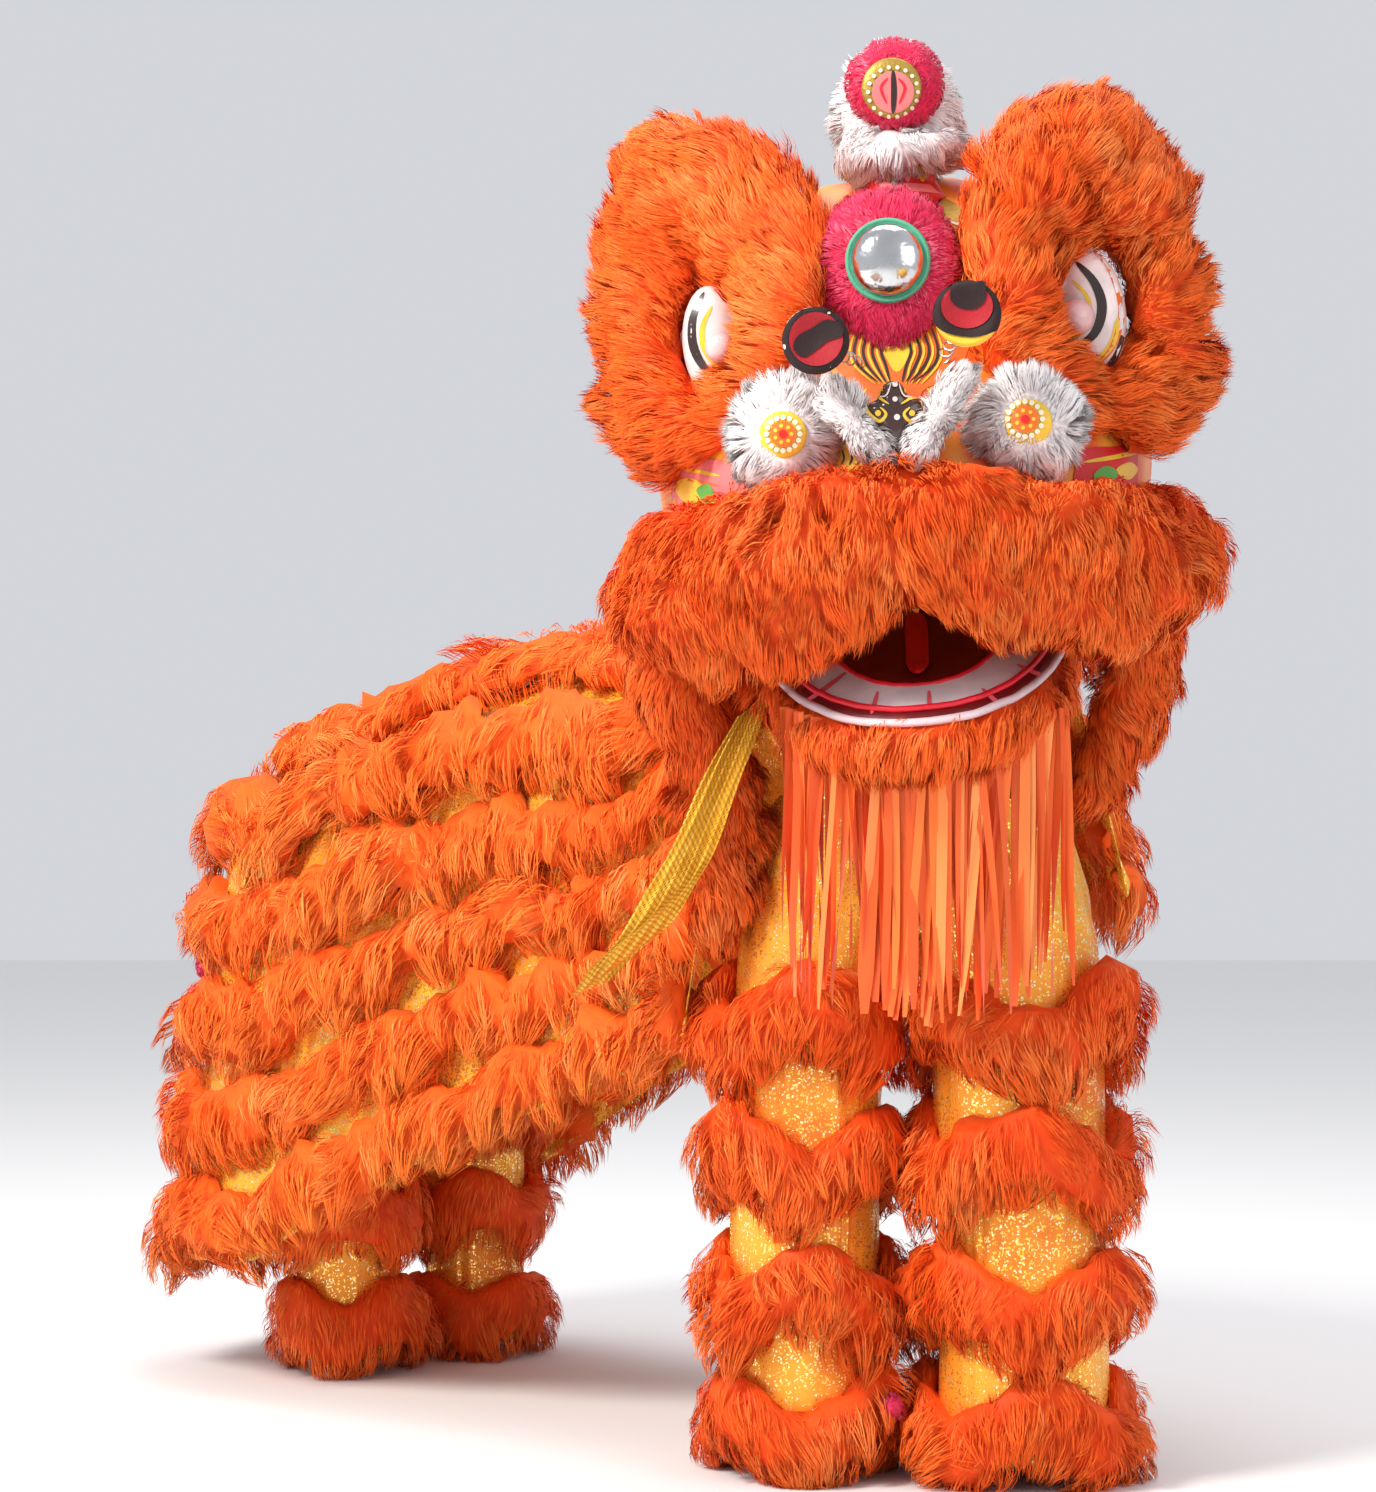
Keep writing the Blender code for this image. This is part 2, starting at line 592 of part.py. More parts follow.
# Two balls on coil springs that stand on the bridge of the nose.
ball_radius = BALL_RADIUS * HEAD_HALF
for (side, x, y, z), (_, foot_x, foot_z) in zip(BALLS, SPRING_FEET):
    centre = Vector(in_head((x, y, z)))
    ball = turned(
        "ball_" + side,
        [
            (0.35, -0.92),
            (0.72, -0.68),
            (0.95, -0.30),
            (1.0, 0.05),
            (0.93, 0.22),
            (0.84, 0.26),
            (0.40, 0.10),
            (0.10, 0.06),
        ],
        14,
        "ball_red",
        centre,
        head,
    )
    for vertex in ball.data.vertices:
        vertex.co *= ball_radius
    foot = Vector((foot_x * HEAD_HALF, -0.70 * HEAD_HALF, foot_z * HEAD_HALF))
    way = (foot - centre).normalized()
    start = centre + way * ball_radius * 0.80
    ball_clear = ball.copy()
    ball_clear.data = ball.data.copy()
    ball_clear.name = "ball_clear_" + side
    ball_clear.hide_render = True
    ball_clear.display_type = "WIRE"
    for vertex in ball_clear.data.vertices:
        vertex.co *= 1 + GAP / ball_radius
    cutters.objects.link(ball_clear)
    length = (foot - start).length
    side_way = way.orthogonal().normalized()
    other_way = way.cross(side_way)
    coil = SPRING_COIL * HEAD_HALF
    curve = bpy.data.curves.new("spring_" + side, "CURVE")
    curve.dimensions = "3D"
    curve.bevel_depth = SPRING_WIRE * HEAD_HALF
    curve.bevel_resolution = 0
    curve.use_fill_caps = True
    path = curve.splines.new("POLY")
    steps = SPRING_TURNS * 6 + 1
    path.points.add(steps - 1)
    for k in range(steps):
        turn = 2 * math.pi * k / 6
        grip = length * k / (steps - 1)
        point = start + way * grip + (side_way * math.cos(turn) + other_way * math.sin(turn)) * coil
        path.points[k].co = (*point, 1)
    spring_curve = bpy.data.objects.new("spring_curve_" + side, curve)
    pieces.objects.link(spring_curve)
    graph = bpy.context.evaluated_depsgraph_get()
    spring_mesh = bpy.data.meshes.new_from_object(spring_curve.evaluated_get(graph))
    work = bmesh.new()
    work.from_mesh(spring_mesh)
    bmesh.ops.remove_doubles(work, verts=work.verts, dist=1e-5)
    bmesh.ops.recalc_face_normals(work, faces=work.faces)
    work.to_mesh(spring_mesh)
    work.free()
    bpy.data.objects.remove(spring_curve, do_unlink=True)
    spring = bpy.data.objects.new("spring_" + side, spring_mesh)
    spring_mesh.materials.clear()
    spring_mesh.materials.append(material(spring.name, "spring_steel"))
    spring_mesh.shade_smooth()
    spring.parent = head
    pieces.objects.link(spring)
    cut(spring, shell_clear, ball_clear)

# Horn: a painted collar and base, white fur round it, and a plush pad with a medallion.
collar_x, collar_z = in_head(HORN_COLLAR)
top_x, top_z = in_head(HORN_TOP)
horn_y = HORN_Y * HEAD_HALF


def oval(x, y, z, half_x, half_y, columns):
    turns = [2 * math.pi * c / columns for c in range(columns)]
    return [(x + half_x * math.cos(turn), y + half_y * math.sin(turn), z) for turn in turns]


horn_base = loft(
    "horn_base",
    [
        oval(collar_x, horn_y, collar_z + up, wide, 0.92 * wide, 16)
        for up, wide in ((-0.050, 0.054), (0.0, 0.052), (0.012, 0.044), (0.016, 0.040), (0.036, 0.038))
    ],
    "horn_gold",
    head,
)
cut(horn_base, shell_clear)
ruff_z = collar_z + 0.036 + GAP + 0.018
horn_fur = loft(
    "horn_fur",
    [
        oval(top_x, horn_y + back, ruff_z + up, wide, deep, 14)
        for up, wide, deep, back in (
            (-0.018, 0.046, 0.042, 0.0),
            (-0.010, 0.070, 0.060, 0.0),
            (0.008, 0.072, 0.060, 0.002),
            (0.018, 0.056, 0.036, 0.012),
            (0.040, 0.064, 0.026, 0.020),
            (0.072, 0.062, 0.026, 0.020),
            (0.100, 0.044, 0.022, 0.020),
            (0.112, 0.020, 0.012, 0.020),
        )
    ],
    "white_fur",
    head,
)


def dome_ring(size, reach, columns=18):
    return [
        (
            0.054 * size * math.cos(2 * math.pi * c / columns),
            -reach,
            0.052 * size * math.sin(2 * math.pi * c / columns),
        )
        for c in range(columns)
    ]


horn_pad = loft(
    "horn_pad",
    [dome_ring(0.80, -0.006), dome_ring(1.0, 0.004), dome_ring(0.95, 0.022), dome_ring(0.70, 0.034)],
    "pink_plush",
    head,
)
horn_pad.location = (top_x, horn_y - 0.0121 - GAP - 0.006, ruff_z + 0.018 + 0.055)
medallion = turned(
    "horn_medallion",
    [(0.031, 0.0), (0.034, 0.002), (0.034, 0.005), (0.028, 0.008), (0.010, 0.010)],
    18,
    "horn_gold",
    (top_x - 0.004, horn_pad.location.y - 0.034 - GAP, top_z),
    head,
)

# Jaw: a dish with a wide sloping brim, carried by a bar between the shell's walls.
def jaw_point(angle, brim, up):
    """A point of the jaw.

    angle runs from the right hinge round the front to the left. brim 0 is the dish's rim and 1 the lip's
    edge; below 0 it runs in over the floor.
    """
    across = JAW_HALF_WIDTH + JAW_BRIM_ACROSS * brim
    forward = JAW_LENGTH + JAW_BRIM_FORWARD * brim
    if brim < 0:
        across = JAW_HALF_WIDTH * (1 + brim)
        forward = JAW_LENGTH * (1 + brim * 0.8)
    square = 2.3
    x, y = math.cos(angle), math.sin(angle)
    size = (abs(x) ** square + abs(y) ** square) ** (-1 / square)
    return (x * size * across, -y * size * forward, up - JAW_BRIM_DROP * max(brim, 0.0))


JAW_COLUMNS = 16
JAW_STATIONS = (  # brim, rise
    (-0.96, 0.0),
    (-0.5, -0.002),
    (-0.08, -0.002),
    (0.0, 0.004),
    (0.5, 0.0),
    (0.92, 0.0),
    (1.0, -0.008),
)
jaw_grid = []
for brim, up in JAW_STATIONS:
    jaw_grid.append([jaw_point(math.pi * c / JAW_COLUMNS, brim, up) for c in range(JAW_COLUMNS + 1)])
jaw = add(
    "jaw",
    [p for row in jaw_grid for p in row],
    grid_faces(len(jaw_grid), JAW_COLUMNS + 1, False, False),
    "mouth_red",
    jaw_frame,
)
orient(jaw, lambda centre, normal: normal.z)
solid = jaw.modifiers.new("wall", "SOLIDIFY")
solid.thickness = JAW_WALL
solid.offset = -1

# The bar ends at the shell's walls, which close in below it.
under_bar = (JAW_HINGE_Z - 1.8 * JAW_BAR_RADIUS) / HEAD_HALF
bar_half = np.interp(under_bar, shell_table[:, 0], shell_table[:, 1]) * HEAD_HALF - SHELL_WALL
bpy.ops.mesh.primitive_cylinder_add(
    vertices=10,
    radius=JAW_BAR_RADIUS,
    depth=2 * bar_half,
    rotation=(0, math.pi / 2, 0),
)
jaw_bar = bpy.context.object
jaw_bar.name = "jaw_bar"
for owner in list(jaw_bar.users_collection):
    owner.objects.unlink(jaw_bar)
pieces.objects.link(jaw_bar)
jaw_bar.parent = jaw_frame
jaw_bar.location = (0, JAW_BAR_RADIUS + 0.0005, -0.002)
jaw_bar.data.materials.append(material("jaw_bar", "mouth_red"))
jaw_bar.data.shade_smooth()


def band_on_jaw(name, first, last, thickness, slot):
    """A thin band lying on the jaw's brim."""
    outer = []
    for c in range(1, JAW_COLUMNS):
        angle = math.pi * c / JAW_COLUMNS
        ring = []
        for brim, up in ((first, GAP), (last, GAP), (last, GAP + thickness), (first, GAP + thickness)):
            x, y, z = jaw_point(angle, brim, 0.004 * max(0.0, 1 - brim / 0.5) + up)
            ring.append((x, y, z))
        outer.append(ring)
    return loft(name, outer, slot, jaw_frame)


teeth = band_on_jaw("teeth", 0.16, 0.84, 0.003, "tooth_white")
for polygon in teeth.data.polygons:
    polygon.use_smooth = False

tongue_rings = []
for k in range(11):
    share = k / 10
    half = 0.5 * TONGUE_WIDTH * (1 if share < 0.8 else math.sqrt(max(0.08, 1 - ((share - 0.8) / 0.2) ** 2)))
    y = -0.07 - 0.205 * share
    top = TONGUE_THICKNESS + GAP
    tongue_rings.append([(-half, y, GAP), (half, y, GAP), (0.7 * half, y, top), (-0.7 * half, y, top)])
tongue = loft("tongue", tongue_rings, "tongue_red", jaw_frame)

CHIN_SPAN = 0.40 * math.pi
chin_rows = []
for k in range(9):
    angle = math.pi / 2 + CHIN_SPAN * (k / 4 - 1)
    x, y, z = jaw_point(angle, 0.86, 0.0)
    chin_rows.append((x, y, z - JAW_WALL - 0.0330, 0.027, 0.026))
chin_fur = fur_roll("chin_fur", chin_rows, 13, 7, "orange_fur", jaw_frame)
jaw_clear = jaw.copy()
jaw_clear.data = jaw.data.copy()
jaw_clear.name = "jaw_clear"
jaw_clear.hide_render = True
jaw_clear.display_type = "WIRE"
jaw_clear.modifiers["wall"].thickness = JAW_WALL + 4 * GAP
jaw_clear.modifiers["wall"].offset = -0.6
cutters.objects.link(jaw_clear)
cut(chin_fur, jaw_clear, solver="MANIFOLD")


def slab(name, front, back, slot, parent):
    """A closed sheet between a front and a back grid of points of the same size."""
    rows = len(front)
    columns = len(front[0])
    points = [p for row in front for p in row] + [p for row in back for p in row]
    size = rows * columns
    faces = grid_faces(rows, columns, False, False)
    faces += [tuple(size + i for i in face[::-1]) for face in grid_faces(rows, columns, False, False)]
    rim = [c for c in range(columns)]
    rim += [r * columns + columns - 1 for r in range(1, rows)]
    rim += [(rows - 1) * columns + c for c in range(columns - 2, -1, -1)]
    rim += [r * columns for r in range(rows - 2, 0, -1)]
    for k, a in enumerate(rim):
        b = rim[(k + 1) % len(rim)]
        faces.append((a, b, size + b, size + a))
    return add(name, points, faces, slot, parent)


# Beard: satin ribbons sewn side by side to a band under the chin, with a ragged lower edge.
BEARD_LEFT, BEARD_RIGHT = -0.152, 0.172
BEARD_TOP, BEARD_END = -0.308, -0.620  # from the head's middle
BEARD_Y = -0.262
BEARD_RIBBONS = 10
beard_front, beard_back = [], []
for r in range(5):
    down = r / 4
    front_row, back_row = [], []
    for c in range(2 * BEARD_RIBBONS + 1):
        share = c / (2 * BEARD_RIBBONS)
        ridge = 1 if c % 2 else 0
        x = BEARD_LEFT + (BEARD_RIGHT - BEARD_LEFT) * share
        x += 0.010 * down * math.sin(5.1 * share)
        end = BEARD_END + 0.075 * abs(share - 0.55) + 0.018 * math.sin(9.0 * share)
        end += 0.0 if ridge else 0.022
        z = BEARD_TOP + (end - BEARD_TOP) * down + 0.020 * (share - 0.5)
        bow = 0.045 * (2 * share - 1) ** 2
        y = BEARD_Y + bow + 0.030 * down - 0.006 * ridge * math.sin(math.pi * min(1, down + 0.25))
        front_row.append((x, y - 0.005, z))
        back_row.append((x, y + 0.007, z))
    beard_front.append(front_row)
    beard_back.append(back_row)
beard = slab("beard", beard_front, beard_back, "orange_satin", throat)
chin_clear = fur_roll("chin_clear", chin_rows, 13, 7, None, jaw_frame, grow=GAP)
cut(beard, chin_clear, jaw_clear, solver="MANIFOLD")


# Cape: cloth over a bent back, from the head to the rump. It stays open below and at the front.
SPINE_TABLE = spline(risen(SPINE, 2, 4, 5), 101, False)


def cape_point(u, v):
    """A point of the cape.

    u runs from the near front edge round the rump to the far front edge, and v from the back's ridge down to
    the hem.
    """
    if u <= FLANK_SHARE:
        share, turn = u / FLANK_SHARE, 0.0
    elif u >= 1 - FLANK_SHARE:
        share, turn = (1 - u) / FLANK_SHARE, 1.0
    else:
        share, turn = 1.0, (u - FLANK_SHARE) / (1 - 2 * FLANK_SHARE)
    place = share * 100
    low = min(int(place), 99)
    step = SPINE_TABLE[low + 1] - SPINE_TABLE[low]
    x, y, ridge, half, near_hem, far_hem = SPINE_TABLE[low] + step * (place - low)
    heading = math.atan2(step[1], step[0]) + math.pi / 2 - math.pi * turn
    hem = near_hem + (far_hem - near_hem) * turn
    hem += (RUMP_HEM * HEAD_HEIGHT - hem) * math.sin(math.pi * turn) if 0 < turn < 1 else 0
    if v < CAPE_SHOULDER:
        angle = v / CAPE_SHOULDER * math.pi / 2
        out = half * math.sin(angle)
        z = ridge - CAPE_SHOULDER_DROP * (1 - math.cos(angle))
    else:
        fall = (v - CAPE_SHOULDER) / (1 - CAPE_SHOULDER)
        out = half + CAPE_FLARE * fall
        z = ridge - CAPE_SHOULDER_DROP + (hem - ridge + CAPE_SHOULDER_DROP) * fall
    out += CAPE_FOLD * v * math.cos(2 * math.pi * CAPE_WAVES * u) * min(1.0, v / 0.3)
    return np.array((x + out * math.cos(heading), y + out * math.sin(heading), z))


def cape_normal(u, v):
    du, dv = 0.004, 0.01
    along = cape_point(min(u + du, 1), v) - cape_point(max(u - du, 0), v)
    down = cape_point(u, min(v + dv, 1)) - cape_point(u, max(v - dv, 0.001))
    normal = np.cross(along, down)
    normal /= np.linalg.norm(normal)
    return normal


CAPE_COLUMNS = CAPE_WAVES * COLUMNS_PER_WAVE
cape_grid = []
for r in range(CAPE_ROWS + 1):
    cape_grid.append([cape_point(c / CAPE_COLUMNS, r / CAPE_ROWS) for c in range(CAPE_COLUMNS + 1)])
cape = add(
    "cape",
    [p for row in cape_grid for p in row],
    grid_faces(CAPE_ROWS + 1, CAPE_COLUMNS + 1, False, False),
    "gold_cloth",
    hang,
)
middle = Vector(cape_point(0.5, 0.0))
core = Vector((0.6 * middle.x, 0.6 * middle.y, 0.4))
orient(cape, lambda centre, normal: (centre - core).dot(normal))
solid = cape.modifiers.new("cloth", "SOLIDIFY")
solid.thickness = CLOTH
solid.offset = -1
cut(cape, shell_clear, jaw_clear)

# Wavy rows of fur on the cape. Neighbouring rows swing opposite ways, so that scales of gold show between.
for row, (middle_share, first_wave, last_wave) in enumerate(CAPE_FUR_ROWS):
    rings = []
    for c in range(int(first_wave * COLUMNS_PER_WAVE), int(last_wave * COLUMNS_PER_WAVE) + 1):
        u = c / CAPE_COLUMNS
        swing = CAPE_FUR_SWING * math.cos(2 * math.pi * CAPE_WAVES * u + math.pi * row)
        lift = (5.0, 3.4, 1.5, 1.5, 1.5, 1.5)[row] * GAP
        ring = []
        over_shoulder = ((0, 0),) if row < 2 else ()
        for side, rise in ((-1, 0), *over_shoulder, (1, 0), (0.75, 0.75), (0, 1), (-0.75, 0.75)):
            v = middle_share + (swing + side * CAPE_FUR_HALF) * CAPE_FUR_PITCH
            ring.append(cape_point(u, v) + cape_normal(u, v) * (lift + FUR_THICKNESS * rise))
        rings.append(ring)
    loft("cape_fur_" + str(row + 1), rings, "orange_fur", hang)

# Fur down both sides of the cape's front opening. Heights are shares of HEAD_HEIGHT.
NECK_LEFT = (  # x, y, height, half width, half depth
    (-0.262, -0.005, 0.8609, 0.042, 0.046),
    (-0.272, -0.020, 0.8217, 0.046, 0.046),
    (-0.250, -0.035, 0.7696, 0.050, 0.046),
    (-0.212, -0.036, 0.7087, 0.042, 0.044),
    (-0.205, -0.036, 0.6435, 0.040, 0.042),
    (-0.210, -0.036, 0.5957, 0.038, 0.040),
    (-0.214, -0.036, 0.5652, 0.034, 0.036),
)
NECK_RIGHT = (  # x, y, height, half width, half depth
    (0.262, 0.000, 0.887, 0.040, 0.042),
    (0.275, 0.000, 0.8348, 0.042, 0.042),
    (0.262, 0.010, 0.7826, 0.042, 0.042),
    (0.232, 0.030, 0.7261, 0.034, 0.036),
    (0.225, 0.035, 0.6957, 0.030, 0.032),
)
neck_clear = None
for side, shares in (("left", NECK_LEFT), ("right", NECK_RIGHT)):
    rows = risen(shares, 2)
    neck = fur_roll("neck_fur_" + side, rows, 9, 8, "orange_fur", hang)
    cut(neck, shell_clear, jaw_clear, lip_clear)
    if side == "left":
        neck_clear = fur_roll("neck_clear", rows, 9, 8, None, hang, grow=GAP)

# Sash: a strip of gold mesh that hangs from the throat across the near shoulder. Heights are shares of
# HEAD_HEIGHT.
SASH = (  # x, y, height, half width
    (-0.176, -0.104, 0.7696, 0.022),
    (-0.211, -0.106, 0.7, 0.032),
    (-0.248, -0.100, 0.6243, 0.040),
    (-0.286, -0.075, 0.5643, 0.048),
    (-0.326, -0.020, 0.52, 0.050),
    (-0.368, 0.050, 0.48, 0.034),
)
sash_front, sash_back = [], []
for x, y, z, half in spline(risen(SASH, 2), 9, False):
    front_row, back_row = [], []
    for c in range(7):
        share = c / 3 - 1
        wave = 0.004 * math.sin(4.0 * share + 9 * z)
        px = x + half * share * 0.86
        pz = z + half * share * 0.50
        front_row.append((px, y - CLOTH + wave, pz))
        back_row.append((px, y + wave, pz))
    sash_front.append(front_row)
    sash_back.append(back_row)
sash = slab("sash", sash_front, sash_back, "gold_mesh", hang)
cut(sash, neck_clear, chin_clear, solver="MANIFOLD")


def ball_at(name, place, size, slot):
    bpy.ops.mesh.primitive_uv_sphere_add(segments=10, ring_count=6, radius=size)
    made = bpy.context.object
    made.name = name
    for owner in list(made.users_collection):
        owner.objects.unlink(made)
    pieces.objects.link(made)
    made.parent = hang
    made.location = place
    made.data.materials.append(material(name, slot))
    made.data.shade_smooth()
    return made


# A dark red tuft stands on the rump, and a small pink pompom hangs between two fur rows.
TUFT_SIZE = 0.023
POMPOM_SIZE = 0.013
tuft_u, tuft_v = 0.5, 0.012
ball_at(
    "tail_tuft",
    cape_point(tuft_u, tuft_v) + cape_normal(tuft_u, tuft_v) * (TUFT_SIZE - 5 * GAP),
    TUFT_SIZE,
    "dark_red",
)
pompom_u, pompom_v = 6.5 / CAPE_WAVES, 0.5175
ball_at(
    "rump_pompom",
    cape_point(pompom_u, pompom_v) + cape_normal(pompom_u, pompom_v) * (POMPOM_SIZE + GAP),
    POMPOM_SIZE,
    "pink_plush",
)


# Trousers.
def leg_ring(row, height, shrink):
    """The outline of one trouser leg at a height; above the crotch it leans in to the waist."""
    _, waist_x, waist_y, waist, crotch, _, leg_x, leg_y, radius = row
    waist *= HEAD_HEIGHT
    crotch *= HEAD_HEIGHT
    rise = min(max((height - crotch + CROTCH_EASE) / (waist - crotch + CROTCH_EASE), 0.0), 1.0)
    centre_x = leg_x + (waist_x + 0.30 * (leg_x - waist_x) - leg_x) * rise
    centre_y = leg_y + (waist_y + 0.30 * (leg_y - waist_y) - leg_y) * rise
    size = radius + (WAIST_RADIUS - radius) * rise - shrink
    return [
        (
            centre_x + size * math.cos(2 * math.pi * c / LEG_COLUMNS - math.pi / 2),
            centre_y + size * math.sin(2 * math.pi * c / LEG_COLUMNS - math.pi / 2),
            height,
        )
        for c in range(LEG_COLUMNS)
    ]


TROUSER_HEM = 0.014
for wearer in ("front", "rear"):
    legs = [row for row in TROUSERS if row[0] == wearer]
    waist, crotch = legs[0][3] * HEAD_HEIGHT, legs[0][4] * HEAD_HEIGHT
    heights = [TROUSER_HEM, crotch - CROTCH_EASE, 0.5 * (crotch + waist), waist]
    garment = None
    for row in legs:
        rings = [leg_ring(row, z, 0.0) for z in heights]
        outer = loft("leg_" + wearer + "_" + row[5], rings, None, hang)
        if garment is None:
            garment = outer
        else:
            joined = garment.modifiers.new("join", "BOOLEAN")
            joined.operation = "UNION"
            joined.object = outer
    inner_heights = [TROUSER_HEM - 0.02] + heights[1:-1] + [waist + 0.02]
    for row in legs:
        rings = [leg_ring(row, z, CLOTH) for z in inner_heights]
        cut(garment, loft("hollow_" + wearer + "_" + row[5], rings, None, hang))
    cutters.objects.unlink(garment)
    pieces.objects.link(garment)
    garment.name = wearer + "_trousers"
    garment.hide_render = False
    garment.display_type = "TEXTURED"
    garment.data.materials.append(material(garment.name, "gold_cloth"))
    for row in legs:
        fur_row = next(found for found in LEG_FUR if found[:2] == (wearer, row[5]))
        _, _, fur_half, fur_swing, fur_heights = fur_row
        for k, height in enumerate(fur_heights):
            flip = k + (row[5] == "far")
            rings = []
            for c in range(LEG_COLUMNS):
                angle = 2 * math.pi * c / LEG_COLUMNS
                sway = fur_swing * math.cos(LEG_LOBES * angle + math.pi * flip)
                middle_height = height * HEAD_HEIGHT + sway
                ring = []
                for side, thick in ((-1, 0), (1, 0), (0.75, 0.8), (0, 1), (-0.75, 0.8)):
                    z = max(middle_height + side * fur_half, 0.002)
                    outline = leg_ring(row, z, -1.3 * GAP - FUR_THICKNESS * thick)
                    ring.append(outline[c])
                rings.append(ring)
            loft(wearer + "_fur_" + row[5] + "_" + str(k + 1), rings, "orange_fur", hang, closed=True)

# A small pink pompom on the inner front of the near front leg.
leg_row = TROUSERS[0]
leg_angle = 2 * math.pi * 2 / LEG_COLUMNS
_, _, _, pompom_swing, pompom_rows = LEG_FUR[0]
pompom_height = pompom_rows[3] * HEAD_HEIGHT + pompom_swing * math.cos(LEG_LOBES * leg_angle + math.pi * 3)
toward = Vector((math.cos(leg_angle - math.pi / 2), math.sin(leg_angle - math.pi / 2)))
away = leg_row[8] + FUR_THICKNESS + 2 * GAP + POMPOM_SIZE
pompom_place = (leg_row[6] + toward.x * away, leg_row[7] + toward.y * away, pompom_height)
ball_at("leg_pompom", pompom_place, POMPOM_SIZE, "pink_plush")
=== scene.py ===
"""Looks of the lion dance costume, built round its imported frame: deep fur as thousands of fine ribbons,
sequined gold cloth, satin ribbons and painted lacquer. The lion faces -Y, and the origin is the middle of its
head."""

import math

import bpy
import numpy as np
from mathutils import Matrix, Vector
from mathutils.bvhtree import BVHTree
from mathutils.geometry import delaunay_2d_cdt


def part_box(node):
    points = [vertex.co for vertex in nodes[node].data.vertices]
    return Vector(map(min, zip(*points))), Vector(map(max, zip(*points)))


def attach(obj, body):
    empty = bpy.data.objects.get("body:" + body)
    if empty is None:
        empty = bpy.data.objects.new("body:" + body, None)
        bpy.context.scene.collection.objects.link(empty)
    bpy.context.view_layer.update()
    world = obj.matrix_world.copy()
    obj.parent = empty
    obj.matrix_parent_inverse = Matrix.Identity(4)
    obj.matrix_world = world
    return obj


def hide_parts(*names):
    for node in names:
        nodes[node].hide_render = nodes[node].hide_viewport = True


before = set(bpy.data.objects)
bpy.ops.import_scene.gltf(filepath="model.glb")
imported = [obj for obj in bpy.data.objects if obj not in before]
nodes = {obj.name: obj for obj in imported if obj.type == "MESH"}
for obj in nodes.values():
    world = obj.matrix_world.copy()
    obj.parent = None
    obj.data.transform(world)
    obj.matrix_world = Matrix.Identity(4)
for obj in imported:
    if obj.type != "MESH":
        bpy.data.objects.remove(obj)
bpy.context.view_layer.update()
FLOOR_Z = -1.15

# Camera, at the photograph's place. SCALE is metres for a pixel at the head's depth.
SCALE = 0.00115
DISTANCE = 5.0
CAMERA_AT = Vector((-0.25, -DISTANCE, -0.312))
PHOTO_WIDTH, PHOTO_HEIGHT = 1376, 1492
camera = bpy.data.objects.new("camera", bpy.data.cameras.new("camera"))
bpy.context.scene.collection.objects.link(camera)
camera.location = CAMERA_AT
camera.rotation_euler = (math.radians(90), 0, 0)
camera.data.sensor_fit = "VERTICAL"
camera.data.sensor_height = 36
camera.data.lens = 36 * DISTANCE / (PHOTO_HEIGHT * SCALE)
camera.data.clip_end = 50
bpy.context.scene.camera = camera


def sight(px, py):
    """The direction in which the camera sees a pixel of the photograph."""
    return Vector(((px - PHOTO_WIDTH / 2) * SCALE, DISTANCE, (PHOTO_HEIGHT / 2 - py) * SCALE)).normalized()


# Materials.
class Net:
    """A small helper to wire shader nodes."""

    def __init__(self, name):
        self.material = bpy.data.materials.new(name)
        self.material.use_nodes = True
        self.tree = self.material.node_tree
        self.shader = self.tree.nodes["Principled BSDF"]

    def put(self, kind, inputs=None, **settings):
        made = self.tree.nodes.new("ShaderNode" + kind)
        for key, value in settings.items():
            setattr(made, key, value)
        for key, value in (inputs or {}).items():
            self.join(value, made.inputs[key])
        return made

    def join(self, value, socket):
        if isinstance(value, bpy.types.NodeSocket):
            self.tree.links.new(value, socket)
        else:
            socket.default_value = (*value, 1.0) if socket.type == "RGBA" else value

    def set(self, **values):
        for key, value in values.items():
            self.join(value, self.shader.inputs[key.replace("_", " ")])

    def maths(self, operation, *values):
        made = self.put("Math", operation=operation)
        for k, value in enumerate(values):
            self.join(value, made.inputs[k])
        return made.outputs[0]

    def mix(self, factor, a, b):
        made = self.put("Mix", data_type="RGBA")
        self.join(factor, made.inputs[0])
        self.join(a, made.inputs[6])
        self.join(b, made.inputs[7])
        return made.outputs[2]

    def ramp(self, value, *stops):
        made = self.put("ValToRGB", {"Fac": value})
        elements = made.color_ramp.elements
        while len(elements) < len(stops):
            elements.new(0.5)
        for element, (place, shade) in zip(elements, stops):
            element.position = place
            element.color = (*shade, 1.0)
        return made.outputs[0]

    def noise(self, scale, detail=2.0, vector=None):
        made = self.put("TexNoise", {"Scale": scale, "Detail": detail})
        if vector is not None:
            self.join(vector, made.inputs["Vector"])
        return made.outputs["Fac"]

    def bump(self, height, distance, strength=1.0):
        made = self.put("Bump", {"Height": height, "Distance": distance, "Strength": strength})
        self.set(Normal=made.outputs[0])

    def place(self):
        return self.put("TexCoord").outputs["Object"]


